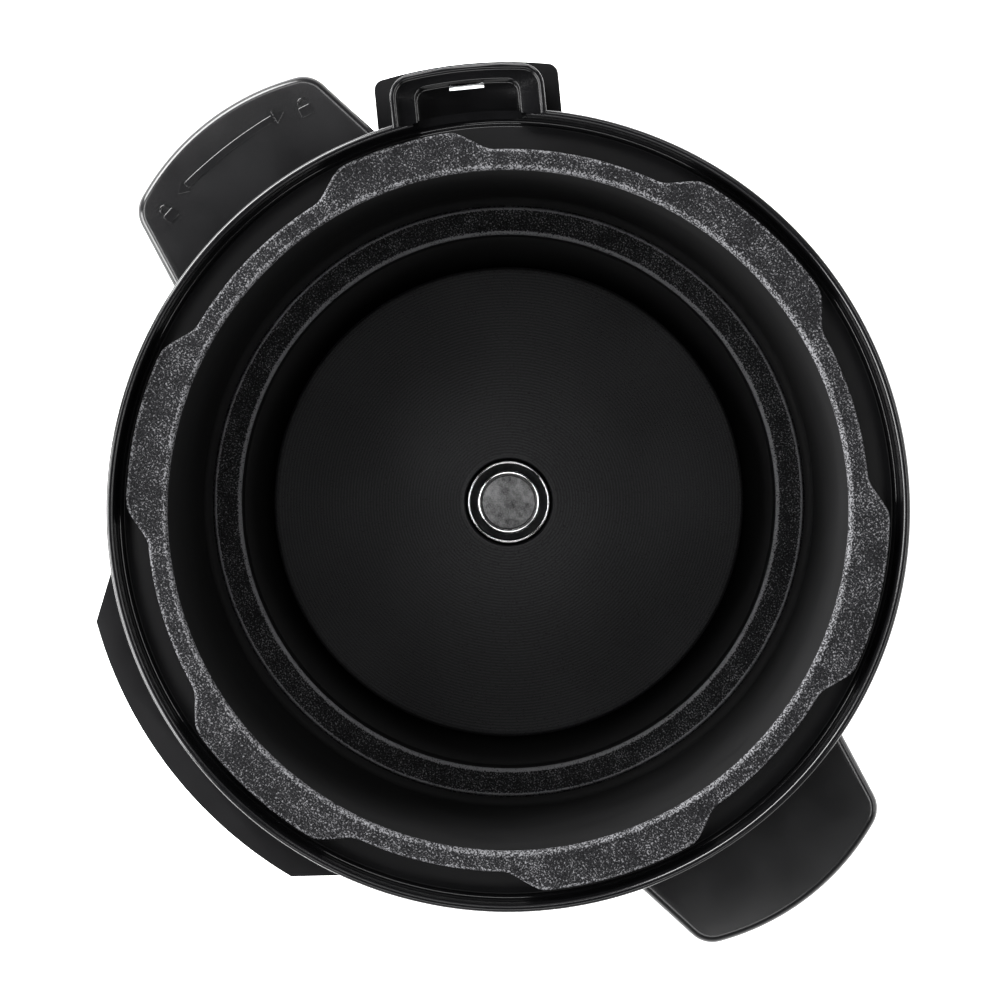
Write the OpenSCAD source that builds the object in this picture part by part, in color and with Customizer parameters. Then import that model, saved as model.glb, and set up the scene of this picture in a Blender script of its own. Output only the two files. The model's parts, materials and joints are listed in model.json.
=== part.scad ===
// Base unit of an electric pressure cooker: body, locking pot, heating plate, sensor and controls.
// Millimetres. +Z is up, the feet stand on z = 0, the front panel faces -Y.

/* [Body] */
// Outer radius of the top collar
collar_r = 134.3; // [134:0.1:135]
// Height of the collar's lip above the table
body_h = 225; // [222:1:235]
// Outer radius of the steel shell
shell_r = 131.5; // [131.4:0.1:131.6]
// Height of the rubber feet
foot_h = 4; // [3.5:0.5:5]
// Top of the base cover's wall
base_top = 40; // [39:0.5:41]

/* [Locking pot] */
// Inner radius of the outer pot's wall
pot_r = 114; // [113.5:0.1:114]
// Sheet thickness of the outer pot
pot_t = 1.5; // [1.2:0.1:1.5]
// Drop from the collar's lip to the pot's flange
flange_drop = 4; // [3:0.5:5]
// Thickness of the flange
flange_t = 2.2; // [2:0.1:2.4]
// Radius of the flange between lugs
flange_r = 121; // [120.5:0.1:121.5]
// Radius at the tip of the lugs
lug_r = 127.9; // [127:0.1:128.5]
// Half angle of a wide lug's tip
lug_half = 12.3; // [11:0.1:13]
// Half angle of the narrow lug's tip
narrow_lug_half = 9.1; // [8:0.1:10]
// Angle taken by the slope at each side of a lug
lug_slope = 5; // [4:0.5:6]
// Drop from the flange to the top of the heating plate
pot_depth = 152; // [150:1:153]

/* [Heating plate] */
// Radius of the heating plate
plate_r = 87.3; // [86:0.1:88]
// Thickness of the plate between its ribs
plate_t = 9; // [9:0.5:9.5]
// Radius of the sensor cap
cap_r = 11.7; // [11.5:0.1:12]
// Height of the sensor cap above the plate
cap_rise = 3.2; // [3:0.1:4]

/* [Front panel] */
// Radius of the panel's curved face
panel_r = 144.9; // [144.5:0.1:145.5]
// Half angle of the panel's face
panel_half = 22.1; // [21:0.1:23]
// Bottom of the panel housing
panel_low = 52; // [50:1:54]
// Height of the panel housing
panel_h = 150; // [148:1:150]
// Width of a key
key_w = 27; // [24:1:29]
// Height of a key
key_h = 11; // [9:0.5:12]

/* [Handles] */
// Reach of the handles from the axis
handle_reach = 165.8; // [163:0.2:168]
// Draft of the handle's sides
handle_draft = 9.6; // [8:0.2:12]
// Corner radius of the handles
handle_corner = 10; // [8:0.5:12]

/* [Condensate spout] */
// Direction of the spout about the axis
spout_angle = 148.3; // [148:0.1:149.5]
// Reach of the spout from the axis
spout_reach = 149.2; // [148.5:0.1:150]
// Half width of the spout
spout_half = 25.8; // [25:0.1:26.5]
// Reach of the cup's holder from the axis
holder_reach = 151.9; // [151:0.1:154]
// Half width of the cup's holder
holder_half = 31.3; // [30.5:0.1:31.8]

/* [Hidden] */
$fn = 128;
eps = 0.01;
front = -90;
gap = 0.1;

// Levels
flange_top = body_h - flange_drop;
flange_low = flange_top - flange_t;
plate_top = flange_top - pot_depth;
plate_low = plate_top - plate_t;
ledge_z = plate_top - 3;
moat_z = plate_top - 17;
pot_low = moat_z - pot_t;
floor_t = 2.5;
floor_top = foot_h + floor_t;
gasket_t = 1.4;
shelf_z = flange_low - 5.2;
shelf_t = 2.6;
shell_t = 0.8;
shell_low = base_top - 4;
shell_top = shelf_z - shelf_t - 1.6;
skirt_r = shell_r + 0.2;
collar_low = shell_top - 24;

// Collar
lip_r = 131.8;
gutter_r = 129.5;
seat_r = 119.4;
seat_bore = pot_r + pot_t + 0.9;
lip_round = 1.2;

// Pot floor
ledge_in = 99.6;
ledge_out = 110.2;
ledge_rise = 1.6;
centre_hole_r = 20;
stud_count = 3;
stud_ring = 76.5;
stud_r = 2.5;
stud_first = 30;
stud_step = 360 / stud_count;

// Heating element
coil_r = 61;
coil_tube = 4.2;
coil_z = plate_low + 0.2;
coil_gap = 12;
coil_past = 5;
rib_half = 9;
rib_low = moat_z + 2.4;
terminal_r = 2.6;

// Sensor
plate_hole_r = 16.2;
ring_in = 14.2;
ring_out = 15.3;
rod_r = 4.55;
rod_hole_r = 4.6;
retainer_low = plate_low - 16;
stem_shoulder = plate_low - 2;
screw_ring = 21.6;

// Lugs
lug_first = 40;
narrow_lug = 2;
lug_count = 6;
lug_step = 360 / lug_count;
arc_steps = 10;

// Panel
panel_taper = 33.2;
panel_t = 2.4;
fascia_w = 88;
fascia_h = 126;
fascia_t = 1.6;
fascia_round = 8;
fascia_z = panel_low + panel_h / 2;
key_cols = [-22.5, 22.5];
key_rows = [for (row = [0:3]) fascia_z - 50 + 18 * row];
key_play = 0.35;
key_proud = 0.8;
key_lip = 1;
display_w = 54;
display_h = 25;
display_z = fascia_z + 36;
lamp_z = fascia_z + 16;
lamp_r = 1.6;
board_y = 133.4;
board_t = 1.6;
tact_h = 3.4;

// Screws
screw_r = 1.5;
screw_head_r = 2.9;
screw_head_t = 1.9;
handle_screw_y = 22;
handle_screw_z = shell_top - 9;
panel_screw_angle = 15.6;
panel_screw_inset = 5.5;
holder_screw_y = 20;

// Handles: the side's distance from the axis, radius of the nose, and both directions
handle_side = 63.5;
handle_nose = 84;
handle_turns = [0.5, 180.5];

// Feet and tie legs
foot_ring = 100;
foot_r = 9;
tie_ring = 92;
tie_first = 60;
tie_w = 16;

// Condensate cup and its holder
holder_top = body_h - 25.7;
holder_low = holder_top - 74;
holder_mid = (holder_top + holder_low) / 2;
cup_half = 26.6;
cup_reach = holder_reach - 0.3;
cup_back = shell_r + 3.4;
cup_low = holder_low + 2.8;
cup_top = holder_top - 3.4;

// Inlet, at the rear
inlet_z = floor_top + 17;
inlet_w = 24;
inlet_h = 16.4;
inlet_wall = 2;
inlet_reach = panel_r + key_proud;
pin_offsets = [[-7, -2], [7, -2], [0, 2]];

// Power board
power_x = -49;
power_y = 56;
power_w = 62;
power_d = 64;
power_z = floor_top + 8;

function unit(v) = v / norm(v);
function polar(r, a) = [r * cos(a), r * sin(a)];
function arc(c, r, a0, a1, n) = [for (i = [0:n]) c + polar(r, a0 + (a1 - a0) * i / n)];

module at(angle, r = 0, z = 0) {
  rotate([0, 0, angle]) translate([r, 0, z]) children();
}

module pipe(r_in, r_out, z0, z1) {
  translate([0, 0, z0]) difference() {
    cylinder(h = z1 - z0, r = r_out);
    translate([0, 0, -1]) cylinder(h = z1 - z0 + 2, r = r_in);
  }
}

module rounded_rect(w, h, r) {
  square([w - 2 * r, h], center = true);
  square([w, h - 2 * r], center = true);
  for (x = [-1, 1], y = [-1, 1]) translate([x * (w / 2 - r), y * (h / 2 - r)]) circle(r = r);
}

// A rounded bar that runs forward, along -Y, from y_in to y_out at height z
module front_bar(x, z, w, h, r, y_in, y_out) {
  translate([x, -y_in, z]) rotate([90, 0, 0]) linear_extrude(y_out - y_in) rounded_rect(w, h, r);
}

// A cylinder that points away from the axis
module radial_rod(angle, z, r_in, r_out, rod) {
  rotate([0, 0, angle]) translate([r_in, 0, z]) rotate([0, 90, 0]) cylinder(h = r_out - r_in, r = rod);
}

// A screw whose head lies under z = 0 and whose shank points up
module screw(length, shank, head, head_t) {
  translate([0, 0, -head_t]) difference() {
    cylinder(h = head_t, r = head);
    translate([0, 0, -1]) linear_extrude(1 + head_t / 2) square([head * 1.3, 0.8], center = true);
    translate([0, 0, -1]) linear_extrude(1 + head_t / 2) square([0.8, head * 1.3], center = true);
  }
  translate([0, 0, -eps]) cylinder(h = length, r = shank);
}

// A round wire swept along a helix about the Z axis
module coil_spring(r, wire, z0, z1, turns, sides = 6, per_turn = 16) {
  rings = turns * per_turn;
  points = [
    for (i = [0:rings]) for (k = [0:sides - 1])
      let (t = 360 * i / per_turn, s = 360 * k / sides, radius = r + wire * cos(s))
      [radius * cos(t), radius * sin(t), z0 + wire + (z1 - z0 - 2 * wire) * i / rings + wire * sin(s)]
  ];
  sides_f = [
    for (i = [0:rings - 1]) for (k = [0:sides - 1])
      let (a = i * sides + k, b = i * sides + (k + 1) % sides)
      [a, a + sides, b + sides, b]
  ];
  first = [for (k = [0:sides - 1]) k];
  last = [for (k = [sides - 1:-1:0]) rings * sides + k];
  polyhedron(points = points, faces = concat([first], [last], sides_f));
}

// An insulated wire swept along a list of points
module wire(points, r, sides = 8) {
  n = len(points);
  rings = [
    for (i = [0:n - 1]) let (
      d = unit(points[min(i + 1, n - 1)] - points[max(i - 1, 0)]),
      u = unit(cross(d, abs(d[2]) > 0.9 ? [1, 0, 0] : [0, 0, 1])),
      w = cross(d, u)
    ) for (k = [0:sides - 1]) points[i] + r * (cos(360 * k / sides) * u + sin(360 * k / sides) * w)
  ];
  skin = [
    for (i = [0:n - 2]) for (k = [0:sides - 1])
      let (a = i * sides + k, b = i * sides + (k + 1) % sides)
      [a, b, b + sides, a + sides]
  ];
  first = [for (k = [sides - 1:-1:0]) k];
  last = [for (k = [0:sides - 1]) (n - 1) * sides + k];
  polyhedron(points = rings, faces = concat([first], [last], skin));
}

// ---- Base ----

module foot_places() {
  for (a = [45:90:315]) at(a, foot_ring) children();
}

module tie_places() {
  for (k = [0:2]) at(tie_first + 120 * k, tie_ring) children();
}

module board_posts() {
  for (x = [-1, 1], y = [-1, 1])
    translate([power_x + x * (power_w / 2 - 5), power_y + y * (power_d / 2 - 5), 0]) children();
}

module base_cover() {
  wall = [
    [0, foot_h], [116, foot_h], [122, foot_h + 1.2], [127.5, foot_h + 4.4], [131, foot_h + 9.5],
    [132.8, foot_h + 18], [133.3, base_top], [skirt_r, base_top], [skirt_r, shell_low],
    [129.4, shell_low], [129.2, foot_h + 18], [128.2, foot_h + 11], [125, foot_h + 6.8],
    [120.5, foot_h + 3.9], [115, floor_top], [0, floor_top]
  ];
  boss_w = inlet_w + 20;
  boss_h = 30;
  color("#1b1b1d") difference() {
    union() {
      rotate_extrude() polygon(wall);
      translate([0, 0, inlet_z - boss_h / 2]) difference() {
        linear_extrude(boss_h) translate([0, inlet_reach / 2 + 64]) rounded_rect(boss_w, inlet_reach - 128, 5);
        translate([0, 0, -1]) cylinder(h = boss_h + 2, r = 130.5);
        translate([0, 0, shell_low - inlet_z + boss_h / 2]) cylinder(h = boss_h, r = skirt_r);
      }
      board_posts() translate([0, 0, floor_top - eps]) cylinder(h = power_z - floor_top, r = 3.6);
      foot_places() translate([0, 0, floor_top - eps]) cylinder(h = 2.5, r = 5);
    }
    translate([0, 90, inlet_z]) rotate([-90, 0, 0])
      linear_extrude(80) rounded_rect(inlet_w + 2 * inlet_wall + 0.2, inlet_h + 2 * inlet_wall + 0.2, 2.1);
    board_posts() translate([0, 0, floor_top + 1]) cylinder(h = power_z, r = screw_r);
    tie_places() translate([0, 0, -1]) cylinder(h = 30, r = 2.1);
    foot_places() translate([0, 0, -1]) cylinder(h = 30, r = 3);
    for (a = [0:30:330], ring = [46, 68])
      at(a + 15, ring, -1) linear_extrude(floor_top + 2) square([16, 3.4], center = true);
  }
}

module rubber_feet() {
  color("#101010") foot_places() {
    cylinder(h = foot_h, r1 = foot_r - 1, r2 = foot_r);
    translate([0, 0, foot_h - eps]) cylinder(h = floor_t + 3.5, r = 2.95);
    translate([0, 0, floor_top + 2.6]) cylinder(h = 2, r1 = 4.2, r2 = 2.95);
  }
}

module tie_legs() {
  color("silver") for (k = [0:2]) at(tie_first + 120 * k) difference() {
    union() {
      translate([tie_ring - 9, -tie_w / 2, floor_top]) cube([18, tie_w, 1.5]);
      translate([tie_ring - 9, -tie_w / 2, floor_top]) cube([1.5, tie_w, pot_low - floor_top]);
      translate([tie_ring - 9, -tie_w / 2, pot_low - 1.5]) cube([16, tie_w, 1.5]);
    }
    translate([tie_ring, 0, 0]) cylinder(h = 20, r = 2.1);
  }
}

module base_screws() {
  color("silver") tie_places() translate([0, 0, foot_h]) screw(11, 2, 3.6, 1.9);
}

module board_screws() {
  color("silver") {
    board_posts() translate([0, 0, power_z + board_t]) rotate([180, 0, 0]) screw(7, 1.45, 2.6, 1.5);
    panel_post_places() translate([0, board_t, 0]) rotate([90, 0, 0]) screw(6, 1.45, 2.6, 1.5);
  }
}

// ---- Shell ----

module shell_screw_holes() {
  for (side = handle_turns, y = [-1, 1])
    rotate([0, 0, side]) translate([120, y * handle_screw_y, handle_screw_z]) rotate([0, 90, 0])
      cylinder(h = 40, r = 1.9);
  for (s = [-1, 1], z = [panel_low + panel_screw_inset, panel_low + panel_h - panel_screw_inset])
    radial_rod(front + s * panel_screw_angle, z, 120, 133, 1.7);
  rotate([0, 0, spout_angle]) for (y = [-1, 1])
    translate([120, y * holder_screw_y, holder_mid]) rotate([0, 90, 0]) cylinder(h = 12.5, r = 1.7);
}

module outer_shell() {
  color("#b9bbbd") difference() {
    pipe(shell_r - shell_t, shell_r, shell_low, shell_top);
    shell_screw_holes();
    front_bar(0, panel_low + 18, 50, 16, 4, 120, 140);
  }
}

module heat_reflector() {
  skirt_out = seat_bore + 2;
  color("#c8cacc") pipe(skirt_out + 0.05, skirt_out + 0.55, plate_low, collar_low + 22);
}

// ---- Collar with its spout ----

// Plan of a tongue that leaves the ring along +X and ends in an arc about the axis
module tongue(half, reach, corner, start = 120) {
  y = half - corner;
  c = [sqrt(pow(reach - corner, 2) - y * y), y];
  lean = atan2(c[1], c[0]);
  nose = [for (i = [1:5]) polar(reach, lean * (1 - i / 5))];
  side = concat([[start, half]], arc(c, corner, 90, lean, 5), nose);
  polygon(concat(side, [for (i = [len(side) - 2:-1:0]) [side[i][0], -side[i][1]]]));
}

module spout_place() {
  rotate([0, 0, spout_angle]) children();
}

spout_low = body_h - 25.5;
band_z = body_h - 4;

// The opening in the lip where condensate leaves for the spout
module spout_gap() {
  spout_place() translate([lip_r - 0.8, -spout_half + 1.4, band_z]) cube([6, 2 * spout_half - 2.8, 10]);
  spout_place() translate([lip_r - 0.9, -20, shelf_z]) cube([6, 40, 20]);
}

module collar() {
  wall = concat(
    [[skirt_r, collar_low], [collar_r - 0.6, collar_low], [collar_r, collar_low + 2]],
    arc([collar_r - lip_round, body_h - lip_round], lip_round, 0, 90, 6),
    arc([lip_r + 0.9, body_h - 0.8], 0.8, 90, 180, 4),
    [[lip_r + 0.1, body_h - 2.2], [skirt_r, shelf_z + 0.4]]
  );
  color("#0c0c0d") difference() {
    rotate_extrude() polygon(wall);
    spout_gap();
    for (side = handle_turns, y = [-1, 1])
      rotate([0, 0, side]) translate([125, y * handle_screw_y, handle_screw_z]) rotate([0, 90, 0])
        cylinder(h = 20, r = 1.9);
    for (s = [-1, 1])
      radial_rod(front + s * panel_screw_angle, panel_low + panel_h - panel_screw_inset, 128, 140, 1.7);
  }
}

// The ring inside the collar: it carries the pot's flange, and its gutter catches condensate
module seat_ring() {
  color("#131314") difference() {
    rotate_extrude() polygon([
      [skirt_r, shelf_z - shelf_t - 1], [skirt_r, shelf_z + 0.4], [lip_r - 0.7, shelf_z - 1],
      [gutter_r + 0.4, shelf_z - 1], [gutter_r - 0.2, shelf_z], [seat_r, shelf_z],
      [seat_r, flange_low - gasket_t], [seat_bore, flange_low - gasket_t],
      [seat_bore, collar_low + 20], [seat_bore + 2, collar_low + 20],
      [seat_bore + 2, shelf_z - shelf_t - 1]
    ]);
    spout_gap();
  }
}

module drain_spout() {
  basin_z = body_h - 17;
  back = collar_r + 0.05;
  color("#101011") difference() {
    translate([0, 0, spout_low]) spout_place() linear_extrude(body_h - spout_low)
      tongue(spout_half, spout_reach, 7.5);
    translate([0, 0, spout_low - 1]) cylinder(h = 30, r = back);
    spout_place() {
      translate([0, 0, band_z]) linear_extrude(10) tongue(spout_half - 1.5, spout_reach - 1.5, 6);
      translate([0, 0, basin_z]) linear_extrude(30) tongue(17.4, 144.4, 4);
      translate([142.6, -5.85, spout_low - 1]) cube([1.7, 11.7, 20]);
    }
  }
}

module flange_gasket() {
  color("#3a3a3c") pipe(seat_bore + 0.2, seat_r - 0.2, flange_low - gasket_t, flange_low);
}

// ---- Locking pot ----

module lug(half) {
  root = flange_r - 2;
  polygon(concat(
    [polar(root, -half - lug_slope), polar(flange_r, -half - lug_slope)],
    arc([0, 0], lug_r, -half, half, arc_steps),
    [polar(flange_r, half + lug_slope), polar(root, half + lug_slope)]
  ));
}

module flange_outline() {
  circle(r = flange_r);
  for (k = [0:lug_count - 1])
    rotate(lug_first + lug_step * k) lug(k == narrow_lug ? narrow_lug_half : lug_half);
}

module stud_places() {
  for (k = [0:stud_count - 1]) at(stud_first + stud_step * k, stud_ring) children();
}

module terminal_places() {
  for (s = [-1, 1]) at(90 + s * coil_gap, coil_r) children();
}

module outer_pot() {
  color("#2f3032") pipe(pot_r, pot_r + pot_t, ledge_z + 1, flange_low);
}

// The pot's stepped floor: a ledge for the inner pot around a well for the heating plate
module pot_floor() {
  outer = pot_r + pot_t;
  profile = concat(
    arc([pot_r - 2.6, ledge_z + 1], 2.6, 0, -90, 5),
    [
      [ledge_out, ledge_z - ledge_rise], [ledge_out - 0.8, ledge_z], [ledge_in + 0.8, ledge_z],
      [ledge_in, ledge_z - 0.8], [ledge_in, moat_z], [centre_hole_r, moat_z],
      [centre_hole_r, pot_low], [ledge_in + pot_t, pot_low], [ledge_in + pot_t, ledge_z - pot_t],
      [ledge_out - 1.4, ledge_z - pot_t], [ledge_out - 0.6, ledge_z - ledge_rise - pot_t],
      [outer - 2.6, ledge_z - ledge_rise - pot_t], [outer, ledge_z + 0.4], [outer, ledge_z + 1]
    ]
  );
  color("#2a2b2d") difference() {
    rotate_extrude() polygon(profile);
    stud_places() translate([0, 0, pot_low - 2]) cylinder(h = 6, r = 3.6);
    terminal_places() translate([0, 0, pot_low - 2]) cylinder(h = 6, r = 6.5);
    at(210, 40, pot_low - 2) cylinder(h = 6, r = 3.4);
  }
}

module pot_flange() {
  color("#3a3b3d") {
    rotate_extrude() polygon(concat(
      [[118, flange_top]], arc([pot_r + 1.5, flange_top - 1.5], 1.5, 90, 180, 4),
      [[pot_r, flange_low], [118, flange_low]]
    ));
    translate([0, 0, flange_low]) linear_extrude(flange_t) difference() {
      flange_outline();
      circle(r = 117);
    }
  }
}

// ---- Heating plate ----

module heating_plate() {
  profile = [
    [plate_hole_r, plate_top], [plate_r - 1, plate_top], [plate_r, plate_top - 1],
    [plate_r, plate_low + 3], [plate_r - 1.5, plate_low], [coil_r + rib_half, plate_low],
    [coil_r + rib_half - 2, rib_low], [coil_r - rib_half + 2, rib_low],
    [coil_r - rib_half, plate_low], [plate_hole_r, plate_low]
  ];
  color("#3a3b3d") difference() {
    rotate_extrude() polygon(profile);
    coil_path(coil_tube);
    terminal_places() translate([0, 0, rib_low - 1]) cylinder(h = coil_z - rib_low + 1, r = terminal_r + 0.4);
    stud_places() translate([0, 0, plate_low - 1]) cylinder(h = 5, r = stud_r);
    for (a = [0:120:240]) at(a, screw_ring, plate_low - 1) cylinder(h = 5, r = 1.2);
    at(210, 40, plate_low - 1) cylinder(h = 4, r = 2);
  }
}

module coil_path(r) {
  start = coil_gap - coil_past;
  at(90 + start) rotate_extrude(angle = 360 - 2 * start) translate([coil_r, coil_z]) circle(r = r);
}

module heating_element() {
  color("#8a8d90") {
    coil_path(coil_tube);
    terminal_places() translate([0, 0, pot_low - 12]) cylinder(h = coil_z - pot_low + 12, r = terminal_r);
  }
}

module terminal_insulators() {
  color("#f2efe6") terminal_places() pipe(terminal_r + 0.05, 4.8, pot_low - 7, rib_low - 0.3);
}

module plate_studs() {
  color("silver") stud_places() translate([0, 0, pot_low - 11]) cylinder(h = plate_low + 4 - pot_low + 11, r = stud_r - 0.02);
}

module plate_springs() {
  color("#d0d2d4") stud_places() coil_spring(5, 0.6, moat_z, plate_low, 3);
}

module plate_washers() {
  color("silver") stud_places() pipe(stud_r + 0.1, 6.5, pot_low - 1.3, pot_low - 0.1);
}

module plate_nuts() {
  color("silver") stud_places() difference() {
    translate([0, 0, pot_low - 5.4]) cylinder(h = 4, r = 4.6, $fn = 6);
    translate([0, 0, pot_low - 7]) cylinder(h = 8, r = stud_r);
  }
}

// ---- Sensor ----

module sensor_shield_ring() {
  color("#d9dadb") {
    pipe(ring_in, ring_out, plate_low - 1, plate_top + 0.3);
    pipe(ring_out - eps, 19, plate_low - 1, plate_low);
  }
}

module retainer_places() {
  for (a = [0:120:240]) at(a, screw_ring) children();
}

module sensor_retainer() {
  color("silver") difference() {
    union() {
      pipe(18, 24, plate_low - 2.2, plate_low - 1);
      retainer_places() translate([0, 0, plate_low - 1 - eps]) cylinder(h = 1 + eps, r = 2.2);
      pipe(16.8, 18.2, retainer_low, plate_low - 1);
      pipe(rod_hole_r, 18, retainer_low, retainer_low + 1.2);
    }
    retainer_places() translate([0, 0, plate_low - 4]) cylinder(h = 6, r = 1.3);
  }
}

module retainer_screws() {
  color("silver") retainer_places() translate([0, 0, plate_low - 2.2]) screw(5.5, 1.19, 2, 1.1);
}

module sensor_cap() {
  top = plate_top + cap_rise;
  profile = concat(
    [[0, top]],
    arc([cap_r - 1.2, top - 1.2], 1.2, 90, 0, 5),
    [
      [cap_r, plate_low - 0.6], [cap_r - 0.6, plate_low - 0.6], [cap_r - 0.6, top - 1.4],
      [cap_r - 1.4, top - 0.6], [0, top - 0.6]
    ]
  );
  color("#a9abad") rotate_extrude() polygon(profile);
}

module sensor_stem() {
  top = plate_top + cap_rise - 0.7;
  color("#e8e4d8") difference() {
    union() {
      translate([0, 0, stem_shoulder]) cylinder(h = 7, r = cap_r - 0.65);
      translate([0, 0, stem_shoulder + 7 - eps]) cylinder(h = top - stem_shoulder - 7, r = 7);
      translate([0, 0, retainer_low - 6]) cylinder(h = stem_shoulder - retainer_low + 6, r = rod_r);
    }
    translate([0, 0, stem_shoulder + 4]) cylinder(h = 20, r = 3);
    pipe(rod_r - 0.8, rod_r + 1, retainer_low - 1.6, retainer_low - 0.3);
  }
}

module sensor_clip() {
  color("silver") difference() {
    pipe(rod_r - 0.78, 7.5, retainer_low - 1.5, retainer_low - 0.4);
    translate([0, -1.5, retainer_low - 3]) cube([10, 3, 5]);
  }
}

module thermistor() {
  color("#5a2f20") {
    translate([0, 0, plate_top + cap_rise - 5.4]) cylinder(h = 4.2, r = 2.6);
    for (x = [-1, 1]) translate([x, 0, stem_shoulder + 4.2]) cylinder(h = plate_top + cap_rise - 9.4 - stem_shoulder, r = 0.4);
  }
}

module sensor_spring() {
  color("#d0d2d4") coil_spring(7.6, 0.5, retainer_low + 1.2, stem_shoulder, 5);
}

// ---- Pressure cut-out and thermal fuse under the pot ----

module switch_striker() {
  color("silver") at(210, 40, pot_low - 3.6) cylinder(h = plate_low + 2 - pot_low + 3.6, r = 1.98);
}

module switch_bracket() {
  color("silver") at(210) difference() {
    union() {
      translate([24, -9, pot_low - 1.3]) cube([11, 18, 1.2]);
      translate([24, -9, pot_low - 19]) cube([1.2, 18, 18]);
      translate([24, -9, pot_low - 19]) cube([28, 18, 1.2]);
    }
    translate([30, 0, pot_low - 4]) cylinder(h = 6, r = 1.6);
  }
}

module pressure_switch() {
  color("#222831") at(210) {
    translate([28, -5, pot_low - 17.8]) cube([22, 10, 10]);
    translate([40, 0, pot_low - 7.9]) cylinder(h = 2.3, r = 2);
    for (x = [31, 39, 47]) translate([x, 5 - eps, pot_low - 14]) cube([1, 6, 3]);
  }
}

module thermal_fuse() {
  color("#b8b2a2") at(330, 80) translate([0, 0, pot_low - 3]) rotate([90, 0, 0]) {
    translate([0, 0, -7]) cylinder(h = 14, r = 2.6);
    translate([0, 0, -17]) cylinder(h = 34, r = 0.6);
  }
}

// ---- Front panel ----

// Plan of the panel: a curved front with sides that taper back to the shell
module panel_plan(face_r, half, taper, back_r) {
  corner = polar(face_r, front + half);
  root = polar(back_r, front + taper);
  difference() {
    intersection() {
      circle(r = face_r);
      polygon([
        [0, 0], [-root[0], root[1]], [-corner[0], corner[1]], [-corner[0], -160],
        [corner[0], -160], corner, root
      ]);
    }
    circle(r = back_r);
  }
}

module panel_screw_places() {
  for (s = [-1, 1], z = [panel_low + panel_screw_inset, panel_low + panel_h - panel_screw_inset])
    rotate([0, 0, front + s * panel_screw_angle]) translate([0, 0, z]) children();
}

module panel_post_places() {
  for (z = [-55, 0, 55]) translate([0, -(board_y + board_t), fascia_z + z]) children();
}

// The room that the collar's skirt takes
module clear_of_collar() {
  translate([0, 0, collar_low - 0.4]) cylinder(h = 60, r = collar_r + gap);
}

module key_places() {
  for (x = key_cols, z = key_rows) translate([x, 0, z]) children();
}

module panel_housing() {
  back = shell_r + gap;
  color("#202022") difference() {
    union() {
      translate([0, 0, panel_low]) difference() {
        linear_extrude(panel_h) panel_plan(panel_r, panel_half, panel_taper, back);
        translate([0, 0, panel_t]) linear_extrude(panel_h - 2 * panel_t)
          panel_plan(panel_r - fascia_t - panel_t, panel_half - 1.1, panel_taper - 2.4, back - 1);
      }
      panel_screw_places() translate([back, 0, 0]) rotate([0, 90, 0]) cylinder(h = 10.4, r = 3.2);
      panel_post_places() rotate([90, 0, 0]) cylinder(h = 7, r = 3);
    }
    clear_of_collar();
    panel_post_places() translate([0, 1, 0]) rotate([90, 0, 0]) cylinder(h = 7, r = screw_r);
    panel_screw_places() translate([back - 2, 0, 0]) rotate([0, 90, 0]) cylinder(h = 10, r = screw_r);
    difference() {
      front_bar(0, fascia_z, fascia_w + 0.2, fascia_h + 0.2, fascia_round + 0.1, 120, 160);
      cylinder(h = body_h, r = panel_r - fascia_t - 0.05);
    }
    key_places() front_bar(0, 0, key_w + 4, key_h + 4, 2, 134, 150);
    front_bar(0, display_z, display_w + 6, display_h + 6, 2, 134, 150);
    for (x = [-1, 0, 1]) front_bar(24 * x, lamp_z, 6, 6, 2, 134, 150);
  }
}

// Part of the curved face between two radii
module face_skin(r_in, r_out) {
  intersection() {
    pipe(r_in, r_out, panel_low, panel_low + panel_h);
    union() children();
  }
}

module panel_fascia() {
  color("#08080a") difference() {
    face_skin(panel_r - fascia_t, panel_r) front_bar(0, fascia_z, fascia_w, fascia_h, fascia_round, 120, 160);
    key_places() front_bar(0, 0, key_w + 2 * key_play, key_h + 2 * key_play, 3.3, 120, 160);
    front_bar(0, display_z, display_w, display_h, 2.5, 120, 160);
    for (x = [-1, 0, 1]) translate([24 * x, -120, lamp_z]) rotate([90, 0, 0]) cylinder(h = 40, r = lamp_r + 0.05);
  }
}

module display_lens() {
  color("#16181c") face_skin(panel_r - fascia_t, panel_r)
    front_bar(0, display_z, display_w - 0.2, display_h - 0.2, 2.4, 120, 160);
}

module display_module() {
  color("#2b3a33") {
    front_bar(0, display_z, display_w - 6, display_h - 3, 1, board_y + board_t, board_y + board_t + 5.4);
  }
}

module indicator_lenses() {
  color("#e05038") for (x = [-1, 0, 1])
    translate([24 * x, 0, lamp_z]) {
      intersection() {
        rotate([90, 0, 0]) cylinder(h = 160, r = lamp_r);
        translate([-24 * x, 0, -5]) pipe(panel_r - 5, panel_r, 0, 10);
      }
    }
}

module control_board() {
  color("#1d5a34") difference() {
    front_bar(0, fascia_z, 78, 118, 2, board_y, board_y + board_t);
    panel_post_places() translate([0, 3, 0]) rotate([90, 0, 0]) cylinder(h = 6, r = 1.6);
  }
}

module tact_switches() {
  color("#9a9c9e") key_places() {
    front_bar(0, 0, 6, 6, 0.5, board_y + board_t, board_y + board_t + tact_h - 1);
    translate([0, -(board_y + board_t), 0]) rotate([90, 0, 0]) cylinder(h = tact_h, r = 1.7);
  }
}

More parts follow.
